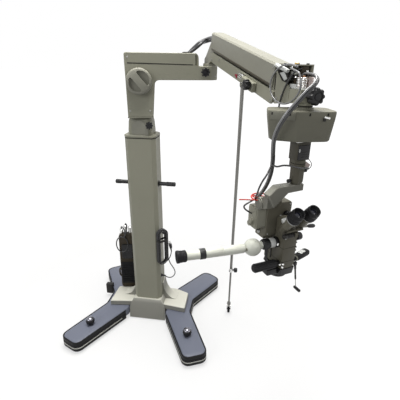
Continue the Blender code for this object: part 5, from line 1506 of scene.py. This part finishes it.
HEAD_TURNED = (
    (
        "lamp_plug", "head", "light", (), "x", 56, 0, (0, 0.07, 1.029),
        (
            (0.0075, -0.129), (0.01, -0.1265), (0.0105, -0.121), (0.009, -0.12), (0.009, -0.118),
            (0.0115, -0.1165), (0.0115, -0.112), (0, -0.111),
        ),
    ),
    (
        "carrier_knob", "head", "black", (), "-y", 72, 12, (0.006, 0.042, 1.049),
        ((0.008, 0.0), (0.012, 0.002, 0.1), (0.0125, 0.013, 0.1), (0.01, 0.015, 0.1), (0, 0.0155)),
    ),
    (
        "carrier_stud", "head", "label", (), "-y", 32, 0, (-0.015, 0.042, 1.04),
        ((0.006, 0.0), (0.006, 0.006), (0.0045, 0.0075), (0, 0.008)),
    ),
    (
        "carrier_side_knob", "head", "black", (), "x", 60, 10, (0, 0.086, 0.986),
        ((0.0065, -0.086), (0.008, -0.084, 0.08), (0.008, -0.075, 0.08)),
    ),
    (
        "carrier_side_dot", "head", "label", (), "x", 32, 0, (0, 0.08, 0.9735),
        ((0.0045, -0.0815), (0.005, -0.0805), (0.005, -0.075)),
    ),
    (
        "zoom_dial", "zoom_knob", "black", ("zoom_knob",), "x", 120, 20, (0, 0.006, 0.966),
        (
            (0.0075, 0.0305), (0.0075, 0.037), (0.0135, 0.0378), (0.0145, 0.0395, 0.06),
            (0.0145, 0.0535, 0.06), (0.0132, 0.0555), (0.01, 0.056), (0.009, 0.055),
        ),
    ),
    (
        "front_roller", "front_knob", "satin", ("front_knob",), "x", 96, 16, (0, -0.024, 0.994),
        (
            (0.0062, -0.047), (0.008, -0.0455), (0.0085, -0.044, 0.05), (0.0085, -0.033, 0.05),
            (0.0076, -0.032), (0.0076, -0.03), (0.0085, -0.029, 0.05), (0.0085, -0.0105, 0.05),
            (0.006, -0.008), (0.006, -0.0015),
        ),
    ),
    (
        "grip_left_ribbed", "grip_left", "rubber", ("grip_left",), "x", 120, 10, (0, 0.007, 0.87),
        (
            (0.0115, -0.14), (0.013, -0.139, 0.08), (0.0165, -0.135, 0.12), (0.016, -0.05, 0.12),
            (0.015, -0.0455, 0.1), (0.0095, -0.044), (0.009, -0.043), (0.009, -0.0305),
        ),
    ),
    (
        "body_pale_knob", "head", "label", (), "x", 40, 0, (0, 0.034, 0.856),
        ((0.0045, 0.03), (0.0045, 0.034), (0.0085, 0.035), (0.0085, 0.045), (0.006, 0.047)),
    ),
    (
        "objective_lens", "head", "lens", (), "z", 64, 0, LENS_AT,
        ((0.0262, 0.8085), (0.0262, 0.807), (0.02, 0.8052), (0.011, 0.804), (0, 0.8036)),
    ),
    (
        "observer_port_ring", "head", "black", ("observer_port",), "x", 120, 24, (0, PORT_Y, PORT_Z),
        ((0.0188, -0.043), (0.0205, -0.0418, 0.04), (0.0205, -0.0318, 0.04), (0.019, -0.0305)),
    ),
    (
        "observer_white_ring", "head", "label", ("observer_ring",), "x", 64, 0, (0, PORT_Y, PORT_Z),
        (
            (0.0168, -0.066), (0.018, -0.0648), (0.018, -0.056), (0.0176, -0.0555), (0.0176, -0.0545),
            (0.018, -0.054), (0.018, -0.045), (0.017, -0.0435),
        ),
    ),
)


def head_pieces():
    block_pieces(HEAD, HEAD_BLOCKS)
    turned_pieces(HEAD, HEAD_TURNED)
    spots = ((-0.066, 1.084), (-0.066, 0.978), (0.022, 1.084))
    screws("carrier_screws", "head", HEAD, 0.042, spots, 0.0032, 0.0014)
    spots = ((-0.023, 0.858), (0.023, 0.858), (-0.023, 0.975))
    screws("body_screws", "head", HEAD, -0.01, spots, 0.003, 0.0013)
    seams = []
    for z in (0.878, 0.934):
        seam = block((-0.0302, -0.0103, z), (0.0302, 0.1042, z + 0.0012), 0.0002)
        seams.append(cut(seam, block((-0.0297, -0.0098, 0.8), (0.0297, 0.1037, 1.0), 0.0002)))
    piece(moved(joined(*seams), HEAD), "body_seams", "head", "seam")
    rows = ((0.0042, 0), (0.0042, 0.004), (0.003, 0.006))
    buttons = [
        moved(solid(rows, "-y", 28), (x, -0.0098, z))
        for x, z in ((-0.025, 0.873), (-0.0265, 0.86))
    ]
    side_button = solid(((0.003, -0.037), (0.0042, -0.035), (0.0042, -0.03)), "x", 28)
    buttons.append(moved(side_button, (0, -0.005, 0.869)))
    piece(moved(joined(*buttons), HEAD), "body_chrome_buttons", "head", "chrome")
    eyepieces()
    distance_lever()
    right_grip()
    objective_pieces()
    swing_rod()
    observer()


# Turned pieces of both eyepieces: name, body, look, shape, steps round, flutes and profile.
EYE_TURNED = (
    (
        "eye_barrel_{}", "head", "carrier", turned, 72, 0,
        (
            (0.0162, -0.07), (0.0162, -0.0325), (0.0185, -0.0318), (0.0212, -0.0305), (0.0216, -0.029),
            (0.0216, -0.024), (0.0205, -0.0234), (0.015, -0.0234),
        ),
    ),
    (
        "eye_rim_{}", "head", "label", turned, 72, 0,
        (
            (0.0196, -0.024), (0.0226, -0.024), (0.023, -0.0234), (0.023, -0.0216), (0.0196, -0.0216),
            (0.0196, -0.024),
        ),
    ),
    (
        "eye_band_{}", "eyecup_{}", "satin", turned, 72, 0,
        ((0.0224, 0.0012), (0.023, 0.0014), (0.023, 0.0026), (0.0224, 0.0028), (0.0224, 0.0012)),
    ),
    (
        "eye_lens_{}", "eyecup_{}", "lens", solid, 48, 0,
        ((0.0112, 0.008), (0.0112, 0.0088), (0.0085, 0.0098), (0.0045, 0.0105), (0, 0.0107)),
    ),
)
EYECUP = (
    (0.0222, -0.0212), (0.0228, -0.0205), (0.0245, -0.019, 0.045), (0.0245, -0.012, 0.045),
    (0.0238, -0.0112), (0.0238, -0.01), (0.0245, -0.0092, 0.045), (0.0245, -0.0015, 0.045),
    (0.0236, -0.0005), (0.0226, 0.0008), (0.0226, 0.003), (0.0232, 0.004), (0.0232, 0.0118),
    (0.0224, 0.0128), (0.0218, 0.016), (0.0212, 0.0215), (0.02, 0.0225), (0.0182, 0.0222),
    (0.0165, 0.019), (0.015, 0.013), (0.0128, 0.009), (0.0118, 0.0085),
)


def eyepieces():
    for side, name in ((-1, "left"), (1, "right")):
        frame_at = eye_frame(side)
        for title, body, look, shape, steps, flutes, rows in EYE_TURNED:
            obj = moved(shape(rows, steps=steps, flutes=flutes), frame_at)
            piece(obj, title.format(name), body.format(name), look)
        cup = moved(solid(EYECUP, steps=144, flutes=36), frame_at)
        node = f"eyecup_{name}"
        piece(cup, f"{node}_grip", node, "rubber", node)
    out = Vector((-0.35, -0.35, 0.87)).normalized()
    nearer = Matrix.Translation((-0.008, -0.0094, 0.0056))
    corners = points_in(
        nearer, (-0.0386, -0.0198, 1.037), (-0.0268, -0.0208, 1.0413), (-0.0219, 0.0023, 1.0526),
        (-0.0372, 0.0074, 1.0485),
    )
    plate = loft([[tuple(p - out * depth) for p in corners] for depth in (0.018, 0.0)])
    piece(moved(bevelled(plate, 0.0006), HEAD), "bino_top_plate", "head", "label")
    hinge = solid(((0.0095, -0.004), (0.01, -0.003), (0.01, 0.004), (0.008, 0.0055)), steps=48)
    moved(hinge, Matrix.Rotation(math.radians(90) - EYE_TILT, 4, "X"), (0, -0.015, 1.044))
    piece(moved(hinge, HEAD), "bino_hinge_cap", "head", "satin")


def distance_lever():
    """The lever at the right: a pale arm that droops from its hub, with a black handle."""
    y, z = 0.01, 1.004
    near, far = 0.0048, 0.0035
    outline = rounded(
        (
            (0.034, z - near, 0.003), (0.083, z - far, 0.003), (0.083, z + far, 0.003),
            (0.034, z + near, 0.003),
        ),
        4,
    )
    arm = bevelled(prism(outline, y - 0.005, y + 0.005, "xz"), 0.0012, 2)
    hub = solid(((0.0082, 0.0345), (0.0088, 0.0355), (0.0088, 0.045), (0.007, 0.0465)), "x", 40)
    droop = pose((0.034, y, z), 8, "Y") @ Matrix.Translation((-0.034, -y, -z))
    arm = moved(joined(arm, moved(hub, (0, y, z))), droop, HEAD)
    piece(arm, "distance_lever_arm", "distance_lever", "cream", "distance_lever")
    rows = (
        (0.005, 0.079), (0.005, 0.088), (0.0068, 0.093), (0.0078, 0.104), (0.0076, 0.114),
        (0.0055, 0.1195), (0, 0.121),
    )
    handle = moved(solid(rows, "x", 64), (0, y, z), droop, HEAD)
    piece(handle, "distance_lever_handle", "distance_lever", "black")


def right_grip():
    """The rounded grip that points to the right, with a pale patch and ring."""
    place = pose((0.0345, 0.003, 0.872), 18, "Z")
    rings = []
    for x, half_y, half_z in (
        (0.0, 0.008, 0.007), (0.012, 0.008, 0.007), (0.0135, 0.0115, 0.009), (0.017, 0.0134, 0.0108),
        (0.05, 0.015, 0.0114), (0.08, 0.0155, 0.0115), (0.088, 0.0138, 0.0104), (0.092, 0.01, 0.008),
    ):
        outline = rounded_box(half_y, half_z, min(half_y, half_z) * 0.75)
        rings.append([(x, *p) for p in outline])
    stub = moved(solid(((0.0065, 0.0305), (0.0065, 0.038)), "x", 36), (0, 0.004, 0.872))
    handle = moved(joined(moved(loft(rings), place), stub), HEAD)
    piece(handle, "grip_right_handle", "grip_right", "rubber", "grip_right")
    patch = prism(rounded_at(0.052, 0.0, 0.016, 0.0085, 0.003), 0.0108, 0.0122)
    piece(moved(patch, place, HEAD), "grip_right_patch", "grip_right", "label")
    ring = prism(rounded_box(0.0118, 0.0092, 0.007), 0.0085, 0.013, "yz")
    piece(moved(ring, place, HEAD), "grip_right_ring", "grip_right", "pale")


def swing_rod():
    """The hinged rod at the body's right side, with a thin wire and a cross bar at its end."""
    x, y = 0.039, -0.004
    lean = Matrix.Translation((x, y, 0.856)) @ Matrix.Rotation(-SWING_ROD_LEAN, 4, "Y")
    foot = block((0.0305, y - 0.006, 0.85), (x + 0.005, y + 0.005, 0.8635), 0.0015)
    rows = (
        (0.0028, -0.074), (0.0035, -0.071), (0.0035, -0.056), (0.0028, -0.055), (0.0028, -0.053),
        (0.0035, -0.052), (0.0035, -0.026), (0.0045, -0.024), (0.0045, -0.005),
    )
    rod = moved(solid(rows, steps=28), lean)
    bar = solid(((0.005, -0.018), (0.006, -0.0165), (0.006, 0.012), (0.0045, 0.015)), "y", 32)
    moved(bar, (0, -0.006, -0.116), lean)
    piece(moved(joined(foot, rod, bar), HEAD), "swing_rod_body", "swing_rod", "black", "swing_rod")
    wire = solid(((0.0016, -0.114), (0.0016, -0.07)), steps=16)
    piece(moved(wire, lean, HEAD), "swing_rod_wire", "swing_rod", "satin_steel")


def objective_pieces():
    top = BODY_BOTTOM - 0.0005
    rows = (
        (0.0385, top), (0.04, top - 0.0015), (0.04, 0.833), (0.0385, 0.832), (0.0385, 0.829),
        (0.04, 0.828, 0.03), (0.0398, 0.822, 0.03), (0.037, 0.811, 0.03), (0.0352, 0.8035),
        (0.0338, 0.8), (0.0285, 0.8), (0.027, 0.801), (0.0262, 0.808),
    )
    cell = moved(solid(rows, steps=144, flutes=48), LENS_AT)
    lug = block((-0.078, 0.004, 0.824), (-0.026, 0.05, top), 0.003)
    piece(moved(joined(cell, lug), HEAD), "objective_cell", "head", "black", "objective")
    rings = []
    for z, half, middle, depth in (
        (0.814, 0.024, 0.045, 0.043), (0.819, 0.029, 0.044, 0.05), (top, 0.0312, 0.044, 0.0542),
    ):
        rings.append([(x, y, z) for x, y in rounded_at(0.0, middle, half, depth, 0.004)])
    piece(moved(loft(rings), HEAD), "objective_skirt", "head", "black")
    dome = [(0.0, 0.824), (0.0085, 0.824), (0.01, 0.822), *arc((0, 0.818), (0.01, -0.013), 0, 90, 8, 1)]
    piece(moved(turned(dome, steps=40), (0.043, 0.03, 0), HEAD), "filter_dome", "head", "clear")


OBSERVER_START = (TUBE_END + 0.0005, 0, 0)
OBSERVER_TURNED = (
    (
        "observer_tube_white", "observer_tube", "white", ("observer_tube",), "x", 72, 0, (0, 0, 0),
        (
            (0.015, BALL_RADIUS + 0.0005), (0.0158, 0.0345), (0.0166, 0.04), (0.0168, 0.058),
            (0.0172, 0.059), (0.0172, 0.11), (0.0168, 0.1108), (0.0168, 0.1122), (0.0172, 0.113),
            (0.0172, 0.177),
        ),
    ),
    (
        "observer_tube_ring", "observer_tube", "black", (), "x", 120, 30, (0, 0, 0),
        ((0.0182, 0.1765), (0.019, 0.178, 0.05), (0.019, 0.196, 0.05), (0.0182, 0.1975)),
    ),
    (
        "observer_tube_end", "observer_tube", "white", (), "x", 72, 0, (0, 0, 0),
        (
            (0.0172, 0.197), (0.0172, 0.204), (0.0168, 0.205), (0.0167, 0.2405), (0.0172, 0.2415),
            (0.017, TUBE_END),
        ),
    ),
    (
        "observer_eyecup_grip", "observer_eyecup", "rubber", ("observer_eyecup",), "x", 144, 36,
        OBSERVER_START,
        (
            (0.018, 0.0), (0.0205, 0.0025, 0.04), (0.0205, 0.0115, 0.04), (0.0198, 0.0125),
            (0.0198, 0.014), (0.0205, 0.015, 0.04), (0.0207, 0.0215, 0.04), (0.022, 0.0255),
            (0.0222, 0.0325), (0.021, 0.0343), (0.019, 0.0345), (0.0172, 0.0315), (0.012, 0.0205),
            (0, 0.0203),
        ),
    ),
    (
        "observer_lens", "observer_eyecup", "lens", (), "x", 48, 0, OBSERVER_START,
        ((0.0118, 0.0201), (0.0112, 0.0213), (0.006, 0.0223), (0, 0.0227)),
    ),
)


def observer():
    """The lock collar with its lever, the ball and the long tube of the observer."""
    port = (0, PORT_Y, PORT_Z)
    rows = (
        (0.0145, -0.0955), (0.0165, -0.094), (0.0195, -0.09, 0.06), (0.0205, -0.085, 0.06),
        (0.0205, -0.073, 0.06), (0.0195, -0.069), (0.0186, -0.0665),
    )
    collar = solid(rows, "x", 120, 20)
    route = (
        (-0.079, -0.009, -0.012), (-0.08, -0.011, -0.022), (-0.082, -0.015, -0.032),
        (-0.085, -0.017, -0.044), (-0.0875, -0.018, -0.051), (-0.088, -0.018, -0.0535),
    )
    lever = pipe(route, (0.0058, 0.0052, 0.0046, 0.0056, 0.0064, 0.004), 24)
    collar = moved(joined(collar, lever), port, HEAD)
    piece(collar, "observer_lock_collar", "observer_collar", "black", "observer_collar")
    disc = solid(((0.006, 0.0), (0.006, 0.001), (0.004, 0.0022), (0, 0.0025)), "-y", 36)
    piece(moved(disc, (-0.0375, -0.02, 0), port, HEAD), "observer_port_disc", "head", "chrome")
    ball = turned(arc((0, 0), (BALL_RADIUS, BALL_RADIUS), -90, 90, 32), steps=72)
    neck = solid(((0.013, -0.116), (0.013, -0.0975), (0.0138, -0.096)), "x", 48)
    shell = moved(joined(moved(ball, BALL_AT), moved(neck, port)), HEAD)
    piece(shell, "observer_ball_shell", "observer_ball", "white", "observer_ball")
    turned_pieces(observer_frame(), OBSERVER_TURNED)
    dimple = solid(((0.0058, 0.0), (0.0058, 0.0012), (0.0045, 0.0018), (0.004, 0.001)), steps=36)
    out = (HEAD.to_3x3().inverted() @ Vector((-0.62, -0.74, 0.05))).normalized()
    dimple_at = facing(Vector(BALL_AT) + out * (BALL_RADIUS - 0.0006), out)
    piece(moved(dimple, dimple_at, HEAD), "observer_dimple", "observer_tube", "light")


make_camera()
make_world()
make_floor()
make_lights()
mains_lead()
coat_nodes()
base_pieces()
foot_pedal()
arm_pieces()
yoke_cables()
spring_arm_pieces()
pole_pieces()
wrist_pieces()
cables()
box_pieces()
column_pieces()
bracket_pieces()
head_pieces()
